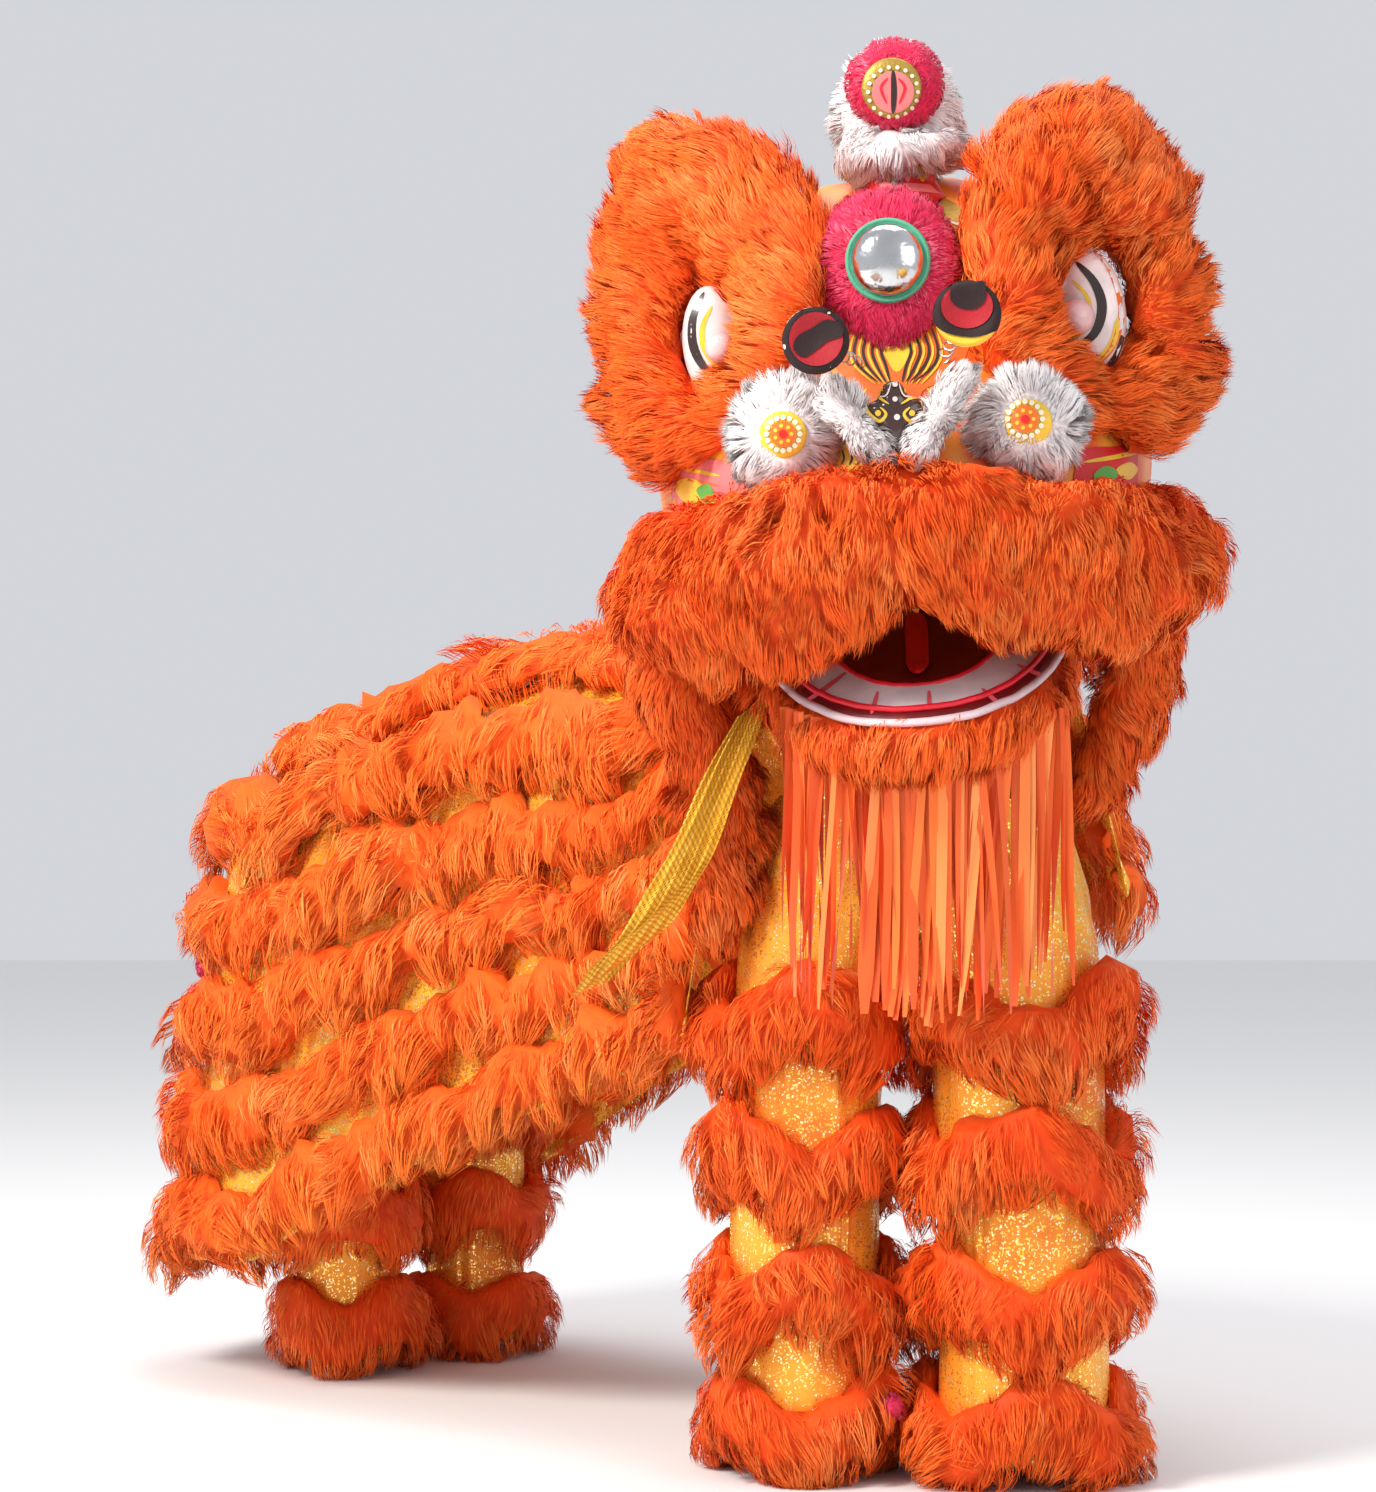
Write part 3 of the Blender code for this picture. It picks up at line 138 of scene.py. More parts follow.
def fur_material(name, root, low, high, tip):
    """Fur: each strand has a tone of its own, and a painted shade darkens it towards its root, deep in the
    pile.
    """
    net = Net(name)
    tone = net.put("Attribute", attribute_name="tone").outputs["Fac"]
    along = net.put("Attribute", attribute_name="along").outputs["Fac"]
    at = net.place()
    drift = net.maths("MULTIPLY", net.maths("SUBTRACT", net.noise(7.0, 2.0, at), 0.5), 0.9)
    drawn_out = net.put("Mapping", {"Vector": at, "Scale": (1.0, 1.0, 0.12)}).outputs["Vector"]
    streak = net.maths("MULTIPLY", net.maths("SUBTRACT", net.noise(240.0, 2.0, drawn_out), 0.5), 0.8)
    shade = net.maths("ADD", net.maths("ADD", tone, drift), streak)
    body = net.ramp(shade, (0.0, low), (0.55, high), (1.0, tip))
    # the mix towards the root colour along each strand is painted shade deep in the pile
    net.set(Base_Color=net.mix(net.maths("POWER", along, 0.7), root, body), Roughness=0.62)
    net.set(Sheen_Weight=0.25, Sheen_Roughness=0.4, Sheen_Tint=tip, Specular_IOR_Level=0.25)
    return net.material


FURS = (  # name, colours: at the roots (painted shade deep in the pile), of the darkest strands, of the middle ones, of the lightest
    ("orange_fur", (0.82, 0.050, 0.003), (0.92, 0.080, 0.004), (1.0, 0.165, 0.012), (1.0, 0.32, 0.075)),
    ("cape_fur", (0.90, 0.085, 0.005), (0.96, 0.130, 0.008), (1.0, 0.235, 0.022), (1.0, 0.42, 0.11)),
    ("white_fur", (0.88, 0.74, 0.74), (0.93, 0.88, 0.88), (0.97, 0.95, 0.95), (1.0, 0.99, 0.99)),
    ("pink_plush", (0.55, 0.008, 0.05), (0.80, 0.018, 0.085), (0.90, 0.05, 0.15), (0.97, 0.28, 0.36)),
    ("dark_wool", (0.12, 0.002, 0.006), (0.25, 0.004, 0.012), (0.38, 0.008, 0.025), (0.50, 0.03, 0.05)),
)
ORANGE_FUR, CAPE_FUR, WHITE_FUR, PINK_PLUSH, DARK_WOOL = (
    fur_material(name, *shades) for name, *shades in FURS
)


def plain(name, base, roughness, bumps=None, **more):
    """A painted or moulded finish with a little wear: its colour and gloss vary over the surface."""
    net = Net(name)
    at = net.place()
    blotch = net.noise(18.0, 4.0, at)
    darker = tuple(0.72 * v for v in base)
    net.set(Base_Color=net.ramp(blotch, (0.30, darker), (0.62, base)))
    wear = net.maths("MULTIPLY", net.noise(60.0, 3.0, at), 0.14)
    net.set(Roughness=net.maths("ADD", roughness - 0.06, wear))
    if bumps:
        net.bump(net.noise(bumps[0], 3.0, at), bumps[1])
    net.set(**more)
    return net.material


def sequin_material(name, base, deep, grain, share):
    """Smooth gold cloth with threads down it and this share of it covered with small sequins, whose colours
    run at random from the cloth's gold to a pale near-white painted glint.
    """
    net = Net(name)
    at = net.place()
    cells = net.put("TexVoronoi", {"Vector": at, "Scale": grain})
    picked = net.put("SeparateColor", {"Color": cells.outputs["Color"]})
    broad = net.ramp(net.noise(6.0, 3.0, at), (0.34, deep), (0.60, base))
    # sequins in random colours of gold; the pale near-white end of the ramp is a painted glint
    sequin_and_glint = net.ramp(
        picked.outputs[0], (0.0, base), (0.6, (1.0, 0.70, 0.12)), (1.0, (1.0, 0.95, 0.62))
    )
    shown = net.maths("GREATER_THAN", picked.outputs[1], 1.0 - share)
    net.set(Base_Color=net.mix(shown, broad, sequin_and_glint))
    net.set(Metallic=net.maths("ADD", 0.25, net.maths("MULTIPLY", shown, 0.5)))
    net.set(Roughness=net.maths("SUBTRACT", 0.42, net.maths("MULTIPLY", shown, 0.24)))
    threads = net.put("Mapping", {"Vector": at, "Scale": (420.0, 420.0, 9.0)})
    tilt = net.maths("MULTIPLY", picked.outputs[2], net.maths("MULTIPLY", shown, 1.6))
    weave = net.maths("MULTIPLY", net.noise(1.0, 2.0, threads.outputs[0]), 0.35)
    net.bump(net.maths("ADD", tilt, weave), 0.0012, 0.8)
    return net.material


GOLD_CLOTH = sequin_material("gold_cloth", (1.0, 0.58, 0.045), (0.86, 0.30, 0.015), 380.0, 0.34)
TROUSER_CLOTH = sequin_material("trouser_cloth", (0.98, 0.42, 0.03), (0.80, 0.16, 0.010), 430.0, 0.24)
SPRING_STEEL = plain("spring_steel", (0.66, 0.66, 0.68), 0.32, Metallic=1.0)
# the mouth's red paint, darkened to stand for the shade inside the mouth: painted shade
SHADED_MOUTH_RED = plain("mouth_red", (0.16, 0.004, 0.006), 0.45, (90.0, 0.0004))
TOOTH_WHITE = plain("tooth_white", (0.86, 0.83, 0.86), 0.42, (40.0, 0.0003))
GUM_RED = plain("gum_red", (0.80, 0.012, 0.03), 0.40, (60.0, 0.0004))
GUM_PINK = plain("gum_pink", (0.88, 0.13, 0.17), 0.45, (60.0, 0.0004))
LIP_WHITE = plain("lip_white", (0.88, 0.72, 0.76), 0.45, (60.0, 0.0004))
TONGUE_RED = plain("tongue_red", (0.82, 0.012, 0.02), 0.42, (220.0, 0.0004))
GREEN_TRIM = plain("green_trim", (0.10, 0.44, 0.27), 0.55, (600.0, 0.0006))
EYE_WHITE = plain("eye_white", (0.86, 0.72, 0.70), 0.32)
EYE_BALL = plain("eye_ball", (0.87, 0.52, 0.52), 0.20, Coat_Weight=0.6)
INK = plain("ink", (0.028, 0.010, 0.008), 0.30, Coat_Weight=0.4)
YELLOW = plain("yellow", (0.90, 0.56, 0.035), 0.38)
CREAM = plain("cream", (0.88, 0.80, 0.62), 0.45)
ORANGE_PAINT = plain("orange_paint", (0.86, 0.16, 0.015), 0.38)
RED_PAINT = plain("red_paint", (0.72, 0.012, 0.012), 0.38)
PINK_PAINT = plain("pink_paint", (0.88, 0.20, 0.20), 0.42)
LEAF_GREEN = plain("leaf_green", (0.12, 0.42, 0.06), 0.45)
PURPLE = plain("purple", (0.22, 0.012, 0.19), 0.40)
NOSE_LACQUER = plain("nose_lacquer", (0.045, 0.012, 0.008), 0.16, Coat_Weight=0.8)
VELVET_RED = plain("velvet_red", (0.42, 0.003, 0.012), 0.70, (420.0, 0.0008))
VELVET_BLACK = plain("velvet_black", (0.018, 0.003, 0.004), 0.75, (420.0, 0.0008))
OLIVE_GOLD = plain("olive_gold", (0.42, 0.27, 0.05), 0.40, (260.0, 0.0006), Metallic=0.5)
SILVER = plain("silver", (0.74, 0.74, 0.76), 0.14, (30.0, 0.0006), Metallic=1.0)


def head_material():
    """The painted shell: orange-red ground with wavy flames of darker and lighter paint over it."""
    net = Net("head_paint")
    at = net.place()
    swirl = net.noise(7.0, 3.0, at)
    wave = net.put("TexWave", {"Vector": at, "Scale": 5.0, "Distortion": 6.0, "Detail": 2.0})
    body = net.ramp(
        wave.outputs["Fac"],
        (0.0, (0.60, 0.045, 0.006)),
        (0.45, (0.84, 0.15, 0.014)),
        (0.72, (0.88, 0.34, 0.03)),
        (1.0, (0.90, 0.50, 0.05)),
    )
    net.set(Base_Color=net.mix(swirl, body, (0.80, 0.12, 0.012)), Roughness=0.40)
    net.bump(net.noise(35.0, 4.0, at), 0.0008)
    return net.material


HEAD_PAINT = head_material()


def satin_material():
    """Satin ribbon: each has a tone of its own, with a fine grain along it."""
    net = Net("orange_satin")
    tone = net.put("Attribute", attribute_name="tone").outputs["Fac"]
    at = net.place()
    stretched = net.put("Mapping", {"Vector": at, "Scale": (260.0, 260.0, 6.0)})
    grain = net.noise(1.0, 2.0, stretched.outputs[0])
    body = net.ramp(
        tone,
        (0.0, (0.80, 0.075, 0.006)),
        (0.6, (0.94, 0.16, 0.015)),
        (1.0, (1.0, 0.34, 0.09)),
    )
    net.set(Roughness=net.maths("ADD", 0.28, net.maths("MULTIPLY", grain, 0.2)))
    net.set(Base_Color=body, Metallic=0.30)
    net.set(Anisotropic=0.5, Sheen_Weight=0.3)
    net.bump(grain, 0.0004)
    return net.material


SATIN = satin_material()


def mesh_material():
    """Open gold mesh: rows of small holes between gold threads, painted dark brown as the shade seen through
    them.
    """
    net = Net("gold_mesh")
    uv = net.put("UVMap").outputs[0]
    scaled = net.put("Mapping", {"Vector": uv, "Rotation": (0.0, 0.0, 0.78), "Scale": (1.0, 1.0, 1.0)})
    cells = net.put("TexVoronoi", {"Vector": scaled.outputs[0], "Scale": 210.0, "Randomness": 0.12})
    hole = net.ramp(cells.outputs["Distance"], (0.20, (0, 0, 0)), (0.34, (1, 1, 1)))
    wide = net.noise(25.0, 2.0, uv)
    thread = net.ramp(wide, (0.3, (0.78, 0.40, 0.02)), (0.7, (1.0, 0.66, 0.08)))
    # the holes' dark brown is painted shade in place of real openings
    net.set(Base_Color=net.mix(hole, (0.40, 0.16, 0.008), thread), Metallic=0.35, Roughness=0.34)
    net.bump(hole, 0.0006)
    return net.material


GOLD_MESH = mesh_material()


# Meshes.
def arrays(made):
    """Points and triangles of an object as Blender evaluates it."""
    bpy.context.view_layer.update()
    evaluated = made.evaluated_get(bpy.context.evaluated_depsgraph_get())
    mesh = evaluated.to_mesh()
    mesh.calc_loop_triangles()
    points = np.empty(len(mesh.vertices) * 3)
    mesh.vertices.foreach_get("co", points)
    faces = np.empty(len(mesh.loop_triangles) * 3, np.int64)
    mesh.loop_triangles.foreach_get("vertices", faces)
    evaluated.to_mesh_clear()
    return points.reshape(-1, 3), faces.reshape(-1, 3)


def welded(name):
    """A CAD node's points and triangles, with the points that its flat shading split joined again."""
    points, faces = arrays(nodes[name])
    _, first, index = np.unique(np.round(points, 5), axis=0, return_index=True, return_inverse=True)
    faces = index.reshape(-1)[faces]
    whole = (faces[:, 0] != faces[:, 1]) & (faces[:, 1] != faces[:, 2]) & (faces[:, 0] != faces[:, 2])
    return points[first], faces[whole]


def unit(v):
    """The directions, each made one long."""
    return v / np.maximum(np.linalg.norm(v, axis=-1, keepdims=True), 1e-12)


def point_normals(points, faces):
    """A smooth normal for each point."""
    normals = np.zeros_like(points)
    flat = np.cross(points[faces[:, 1]] - points[faces[:, 0]], points[faces[:, 2]] - points[faces[:, 0]])
    for k in range(3):
        np.add.at(normals, faces[:, k], flat)
    return unit(normals)


def build(name, points, faces, materials, values=None, slots=None, normals=None, uv=None):
    """A mesh object of the points and faces, with numbers for its points and a material for each face."""
    mesh = bpy.data.meshes.new(name)
    if isinstance(faces, np.ndarray):
        mesh.vertices.add(len(points))
        mesh.vertices.foreach_set("co", np.asarray(points, np.float32).ravel())
        count, corners = faces.shape
        mesh.loops.add(count * corners)
        mesh.loops.foreach_set("vertex_index", faces.astype(np.int32).ravel())
        mesh.polygons.add(count)
        mesh.polygons.foreach_set("loop_start", np.arange(0, count * corners, corners, dtype=np.int32))
        mesh.update(calc_edges=True)
    else:
        mesh.from_pydata([tuple(p) for p in points], [], faces)
    mesh.polygons.foreach_set("use_smooth", np.full(len(mesh.polygons), True))
    for key, numbers in (values or {}).items():
        attribute = mesh.attributes.new(key, "FLOAT", "POINT")
        attribute.data.foreach_set("value", np.asarray(numbers, np.float32))
    if uv is not None:
        layer = mesh.uv_layers.new(name="UVMap")
        corner = np.empty(len(mesh.loops), np.int32)
        mesh.loops.foreach_get("vertex_index", corner)
        layer.data.foreach_set("uv", np.asarray(uv, np.float32)[corner].ravel())
    for material in materials if isinstance(materials, (list, tuple)) else [materials]:
        mesh.materials.append(material)
    if slots is not None:
        mesh.polygons.foreach_set("material_index", np.asarray(slots, np.int32))
    if normals is not None:
        mesh.normals_split_custom_set_from_vertices([tuple(n) for n in normals])
    made = bpy.data.objects.new(name, mesh)
    bpy.context.scene.collection.objects.link(made)
    return made


def surface(points, faces):
    """The area of a mesh of triangles."""
    corners = points[faces]
    flat = np.cross(corners[:, 1] - corners[:, 0], corners[:, 2] - corners[:, 0])
    return np.linalg.norm(flat, axis=1).sum() / 2


def finer(points, faces, levels):
    """The mesh subdivided and rounded off."""
    scratch = build("scratch", points, faces, [])
    rounded = scratch.modifiers.new("round", "SUBSURF")
    rounded.levels = levels
    result = arrays(scratch)
    bpy.data.objects.remove(scratch)
    return result


def lumps(points, size, seed):
    """Smooth noise between about -1 and 1 at each point, with lumps of this size."""
    rng = np.random.default_rng(seed)
    total = np.zeros(len(points))
    for _ in range(10):
        way = unit(rng.normal(size=3)) * 2 * math.pi / (size * rng.uniform(0.7, 1.6))
        total += np.sin(points @ way + rng.uniform(0, 6.28))
    return total / 3.2


def tree_of(shapes):
    """A search tree of several meshes of points and faces."""
    starts = np.cumsum([0] + [len(points) for points, _ in shapes])
    points = np.vstack([points for points, _ in shapes])
    faces = np.vstack([faces + start for (_, faces), start in zip(shapes, starts)])
    return BVHTree.FromPolygons(points.tolist(), faces.tolist())


CARRIERS = ("head_shell", "cape", "front_trousers", "rear_trousers", "jaw")  # what the fur is sewn to
HARD = tree_of([welded(name) for name in CARRIERS])


def spread(points, faces, count, rng, reach):
    """Points picked evenly over a surface, with their normals, but not where it lies against a carrier."""
    corners = points[faces]
    flat = np.cross(corners[:, 1] - corners[:, 0], corners[:, 2] - corners[:, 0])
    area = np.linalg.norm(flat, axis=1) / 2
    centre = corners.mean(axis=1)
    way = unit(flat)
    free = np.ones(len(faces), bool)
    for k in range(len(faces)):
        hit = HARD.ray_cast(Vector(centre[k] + 0.001 * way[k]), Vector(way[k]), reach)
        free[k] = hit[0] is None
    share = np.where(free, area, 0.0)
    if share.sum() == 0:
        share = area
    picked = rng.choice(len(faces), size=count, p=share / share.sum())
    a, b = rng.random(count), rng.random(count)
    turn = a + b > 1
    a[turn], b[turn] = 1 - a[turn], 1 - b[turn]
    smooth = point_normals(points, faces)
    base, other, third = corners[picked, 0], corners[picked, 1], corners[picked, 2]
    where = base + (other - base) * a[:, None] + (third - base) * b[:, None]
    n = smooth[faces[picked]]
    out = unit(n[:, 0] * (1 - a - b)[:, None] + n[:, 1] * a[:, None] + n[:, 2] * b[:, None])
    return where, out


def nearest(points, centres):
    """The index of the nearest centre to each point."""
    found = np.empty(len(points), np.int64)
    for start in range(0, len(points), 4000):
        part = points[start : start + 4000]
        away = ((part[:, None, :] - centres[None, :, :]) ** 2).sum(axis=2)
        found[start : start + 4000] = away.argmin(axis=1)
    return found


def strands(where, out, comb, length, width, lift, rng, tuft, pull, coarse, lean):
    """Pointed ribbons, each of two triangles, that grow from the points, bend over along comb, gather in
    tufts and lean with the broad tufts that they belong to."""
    count = len(where)
    comb = unit(comb - (comb * out).sum(axis=1, keepdims=True) * out * 0.85)
    broad = where[rng.choice(count, size=max(2, int(count / coarse)), replace=False)]
    part = nearest(where, broad)
    centres = where[rng.choice(count, size=max(2, int(count / tuft)), replace=False)]
    group = nearest(where, centres)
    swing = rng.normal(0, 0.17, (len(centres), 3))
    sway = rng.normal(0, lean, (len(broad), 3))
    size = rng.uniform(0.82, 1.18, len(centres))
    wide = rng.uniform(0.80, 1.15, len(broad))
    way = unit(comb + lift * out + sway[part] + swing[group] + rng.normal(0, 0.14, (count, 3)))
    reach = length * size[group] * wide[part] * rng.uniform(0.75, 1.08, count)
    tip = where + way * reach[:, None]
    for index, total, share in ((part, len(broad), pull * 0.55), (group, len(centres), pull)):
        gathered = np.zeros((total, 3))
        np.add.at(gathered, index, tip)
        gathered /= np.maximum(np.bincount(index, minlength=total), 1)[:, None]
        tip += (gathered[index] - tip) * share
    middle = where + (tip - where) * 0.5 + out * (reach * 0.14)[:, None]
    across = np.cross(way, out + rng.normal(0, 0.4, (count, 3)))
    across = unit(across) * (width * rng.uniform(0.7, 1.2, count))[:, None]
    points = np.concatenate([where, middle - across * 0.5, middle + across * 0.5, tip])
    points[:, 2] = np.maximum(points[:, 2], FLOOR_Z + 0.001)
    k = np.arange(count)
    lower = np.stack([k, k + 2 * count, k + count], 1)
    upper = np.stack([k + count, k + 2 * count, k + 3 * count], 1)
    faces = np.concatenate([lower, upper])
    first = np.cross(points[k + 2 * count] - points[k], points[k + count] - points[k])
    flip = np.tile((first * out).sum(axis=1) < 0, 2)
    faces[flip] = faces[flip][:, ::-1]
    tone = 0.30 * rng.random(len(broad))[part] + 0.30 * rng.random(len(centres))[group]
    tone += 0.40 * rng.random(count)
    # along runs from root to tip; low values take the fur's painted root shade
    along = np.concatenate([np.full(count, 0.1), np.full(2 * count, 0.6), np.ones(count)])
    values = {"tone": np.tile(tone, 4), "along": along}
    soft = unit(out + 0.45 * unit(way - out * 0.3))
    return points, faces, values, np.tile(soft, (4, 1))


TUFT = 40  # ribbons that gather in one tuft
REACH = 0.012  # ribbons grow only where no carrier is nearer than this


def fur(
    names, count, length, comb, material, slot, seed, width=0.0015, lift=0.45, pull=0.30, lump=0.005,
    inset=0.004, coarse=420, lean=0.16, levels=2, bare=None,
):
    """Fur pieces that stand for CAD rolls: their form, rounded and lumpy, with ribbons all over it. bare is a
    place and a radius within which the ribbons are cut short, so that what lies there shows."""
    rng = np.random.default_rng(seed)
    parts, total = [], 0.0
    for name in names:
        points, faces = finer(*welded(name), levels)
        area = surface(points, faces)
        parts.append((name, points, faces, area))
        total += area
    for name, points, faces, area in parts:
        normals = point_normals(points, faces)
        points = points + normals * (lumps(points, 0.055, seed) * lump - inset)[:, None]
        points[:, 2] = np.maximum(points[:, 2], FLOOR_Z + 0.001)
        number = max(60, int(count * area / total))
        where, out = spread(points, faces, number, rng, REACH)
        reach = np.full(number, length)
        if bare:
            away = np.linalg.norm((where - np.array(bare[0]))[:, (0, 2)], axis=1)
            reach *= np.clip((away - bare[1] * 0.85) / (bare[1] * 0.30), 0.18, 1.0)
        new_points, new_faces, values, new_normals = strands(
            where, out, comb(where, out), reach, width, lift, rng, TUFT, pull, coarse, lean
        )
        tone = 0.25 + 0.2 * lumps(points, 0.03, seed + 5)
        # the pile's base surface sits low on along, so it takes the painted shade of the roots
        values = {
            "tone": np.concatenate([np.clip(tone, 0, 1), values["tone"]]),
            "along": np.concatenate([np.full(len(points), 0.25), values["along"]]),
        }
        made = build(
            name + "_pile",
            np.vstack([points, new_points]),
            np.vstack([faces, new_faces + len(points)]),
            material,
            values,
            normals=np.vstack([normals, new_normals]),
        )
        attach(made, "root")
        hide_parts(name)


def down(outward):
    """A comb that hangs and stands out by this share."""
    return lambda where, out: np.tile((0.0, -0.15, -1.0), (len(where), 1)) + out * outward


def away_from(centre, fall=0.2):
    """A comb that spreads from a place and falls a little."""

    def comb(where, out):
        way = where - np.array(centre)
        way[:, 1] *= 0.4
        return unit(way) + np.array((0.0, 0.0, -fall))

    return comb


def middle(name):
    """The middle of a node's box."""
    low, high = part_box(name)
    return (low + high) / 2


COUNT = 0.74  # share of the tables' ribbons, for the limit on triangles


def many(number):
    """How many of this number of ribbons are made."""
    return int(number * COUNT)


FACE_MIDDLE = (0.03, -0.20, 0.02)  # between the eyes, from where the fur of the brows spreads out


def round_about(name, share):
    """The place and the radius of a round piece, for bare."""
    low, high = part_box(name)
    return middle(name), (high.x - low.x) / 2 * share


BARE = 1.15  # how far the short fur round a plate or disc reaches, as a share of its radius
BROWS = (  # node, eye in it, ribbons, length, seed
    ("brow_fur_left", "eye_left", 36000, 0.040, 11),
    ("brow_fur_right", "eye_right", 36000, 0.040, 12),
)
for name, eye, count, length, seed in BROWS:
    fur(
        [name], many(count), length, away_from(FACE_MIDDLE), ORANGE_FUR, "orange_fur", seed,
        inset=0.0, lump=0.008, lean=0.22, bare=round_about(eye, BARE),
    )
NECK_ROWS = ["neck_fur_left", "neck_fur_right"]
CAPE_ROWS = ["cape_fur_%d" % k for k in range(1, 7)]
FRONT_ROWS = ["front_fur_%s_%d" % (side, k) for side in ("near", "far") for k in range(1, 5)]
REAR_ROWS = ["rear_fur_near_1", "rear_fur_near_2", "rear_fur_far_1", "rear_fur_far_2", "rear_fur_far_3"]
SETTINGS = ("seed", "lift", "lump", "inset", "width", "coarse", "lean", "pull", "levels")
HANGING_FURS = (  # nodes, fur, ribbons, length, outward, then the columns of SETTINGS
    (["lip_fur"], ORANGE_FUR, 42000, 0.042, 0.3, 13, 0.50, 0.008, 0.0, 0.0015, 420, 0.22, 0.30, 2),
    (["chin_fur"], ORANGE_FUR, 18000, 0.048, 0.3, 14, 0.45, 0.005, 0.004, 0.0015, 420, 0.16, 0.30, 2),
    (NECK_ROWS, ORANGE_FUR, 26000, 0.044, 0.2, 15, 0.45, 0.005, 0.004, 0.0015, 260, 0.25, 0.30, 2),
    (CAPE_ROWS, CAPE_FUR, 84000, 0.064, 0.2, 16, 0.48, 0.012, -0.005, 0.0019, 190, 0.42, 0.50, 1),
    (FRONT_ROWS, ORANGE_FUR, 56000, 0.050, 0.2, 17, 0.45, 0.009, -0.004, 0.0015, 210, 0.32, 0.42, 1),
    (REAR_ROWS, ORANGE_FUR, 28000, 0.050, 0.2, 18, 0.45, 0.006, -0.003, 0.0015, 300, 0.20, 0.30, 1),
)
for names, material, count, length, outward, *settings in HANGING_FURS:
    chosen = dict(zip(SETTINGS, settings))
    fur(names, many(count), length, down(outward), material, "orange_fur", **chosen)
WHITE_FURS = (  # node, ribbons, length
    ("nostril_fur_left", 11000, 0.030),
    ("nostril_fur_right", 11000, 0.030),
    ("nose_fur_left", 6000, 0.020),
    ("nose_fur_right", 6000, 0.020),
    ("horn_fur", 11000, 0.022),
)
DISCS = {"nostril_fur_left": "nostril_disc_left", "nostril_fur_right": "nostril_disc_right"}
for seed, (name, count, length) in enumerate(WHITE_FURS, 30):
    fur(
        [name], many(count), length, away_from(middle(name), 0.1), WHITE_FUR, "white_fur", seed,
        width=0.0013, lump=0.004, inset=-0.001, coarse=260, lean=0.35, lift=0.6,
        bare=round_about(DISCS[name], BARE) if name in DISCS else None,
    )
PINK_FURS = (  # node, ribbons, length
    ("mirror_pad", 12000, 0.014),
    ("horn_pad", 7000, 0.010),
    ("rump_pompom", 1200, 0.009),
    ("leg_pompom", 1200, 0.009),
)
for seed, (name, count, length) in enumerate(PINK_FURS, 40):
    fur(
        [name], many(count), length, away_from(middle(name), 0.1), PINK_PLUSH, "pink_plush", seed,
        width=0.0011, lump=0.001, inset=0.001, coarse=500,
    )
fur(
    ["tail_tuft"], many(2400), 0.016, away_from(middle("tail_tuft"), 0.1), DARK_WOOL, "dark_red", 50,
    width=0.0012, lump=0.002, inset=0.002,
)


def locks(name, nodes_under, count, length, material, seed):
    """Longer wedge-shaped locks that hang from the fur rows over the gold between them."""
    rng = np.random.default_rng(seed)
    parts, offset = [], 0
    for node in nodes_under:
        where, out = spread(*welded(node), int(count / len(nodes_under)), rng, REACH)
        comb = np.tile((0.0, -0.1, -1.0), (len(where), 1)) + out * 0.25
        points, faces, values, normals = strands(
            where, out, comb, length, 0.0021, lift=0.30, rng=rng, tuft=34, pull=0.72, coarse=150, lean=0.34
        )
        parts.append((points, faces + offset, values["tone"], values["along"], normals))
        offset += len(points)
    points, faces, tone, along, normals = (np.concatenate(column) for column in zip(*parts))
    piece = build(name, points, faces, material, {"tone": tone, "along": along}, normals=normals)
    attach(piece, "root")


LOCKS = (  # piece, nodes under it, ribbons, length, fur, seed
    ("cape_locks", CAPE_ROWS, 30000, 0.085, CAPE_FUR, 61),
    ("front_leg_locks", FRONT_ROWS, 15000, 0.070, ORANGE_FUR, 62),
)
for name, nodes_under, count, length, material, seed in LOCKS:
    locks(name, nodes_under, many(count), length, material, seed)

# Hard pieces, rounded from their CAD solids.
SHAPES = {}  # node: its rounded points and faces


def rounded(name, finish, slot, levels=2, waves=0.0):
    """The CAD node's form with its facets rounded off, in a finish of its own."""
    points, faces = finer(*welded(name), levels)
    if waves:
        points = points + point_normals(points, faces) * (lumps(points, 0.045, 7) * waves)[:, None]
    SHAPES[name] = (points, faces)
    made = build(name + "_skin", points, faces, finish)
    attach(made, "root")
    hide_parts(name)
    return made


ROUNDED = (  # finish, slot, levels, nodes
    (HEAD_PAINT, "head_paint", 2, "head_shell"),
    (SHADED_MOUTH_RED, "mouth_red", 2, "jaw"),
    (TOOTH_WHITE, "tooth_white", 2, "teeth"),
    (TONGUE_RED, "tongue_red", 2, "tongue"),
    (SILVER, "mirror", 2, "forehead_mirror"),
    (GREEN_TRIM, "green_trim", 2, "mirror_rim"),
    (NOSE_LACQUER, "nose_black", 2, "nose"),
    (YELLOW, "disc_yellow", 2, "nostril_disc_left", "nostril_disc_right"),
    (RED_PAINT, "horn_gold", 2, "horn_base"),
    (OLIVE_GOLD, "horn_gold", 2, "horn_medallion"),
    (EYE_WHITE, "eye_paint", 2, "eye_left", "eye_right"),
    (EYE_BALL, "eye_paint", 2, "eyeball_left", "eyeball_right"),
    (CREAM, "ball_red", 2, "ball_left"),
    (YELLOW, "ball_red", 2, "ball_right"),
    (SPRING_STEEL, "spring_steel", 1, "spring_left", "spring_right"),
    (SHADED_MOUTH_RED, "mouth_red", 1, "jaw_bar"),
)
for finish, slot, levels, *names in ROUNDED:
    for name in names:
        rounded(name, finish, slot, levels)
CLOTH_WAVES = 0.0022
CLOTHS = {"cape": GOLD_CLOTH, "front_trousers": TROUSER_CLOTH, "rear_trousers": TROUSER_CLOTH}
CLOTH = {name: rounded(name, finish, "gold_cloth", waves=CLOTH_WAVES) for name, finish in CLOTHS.items()}


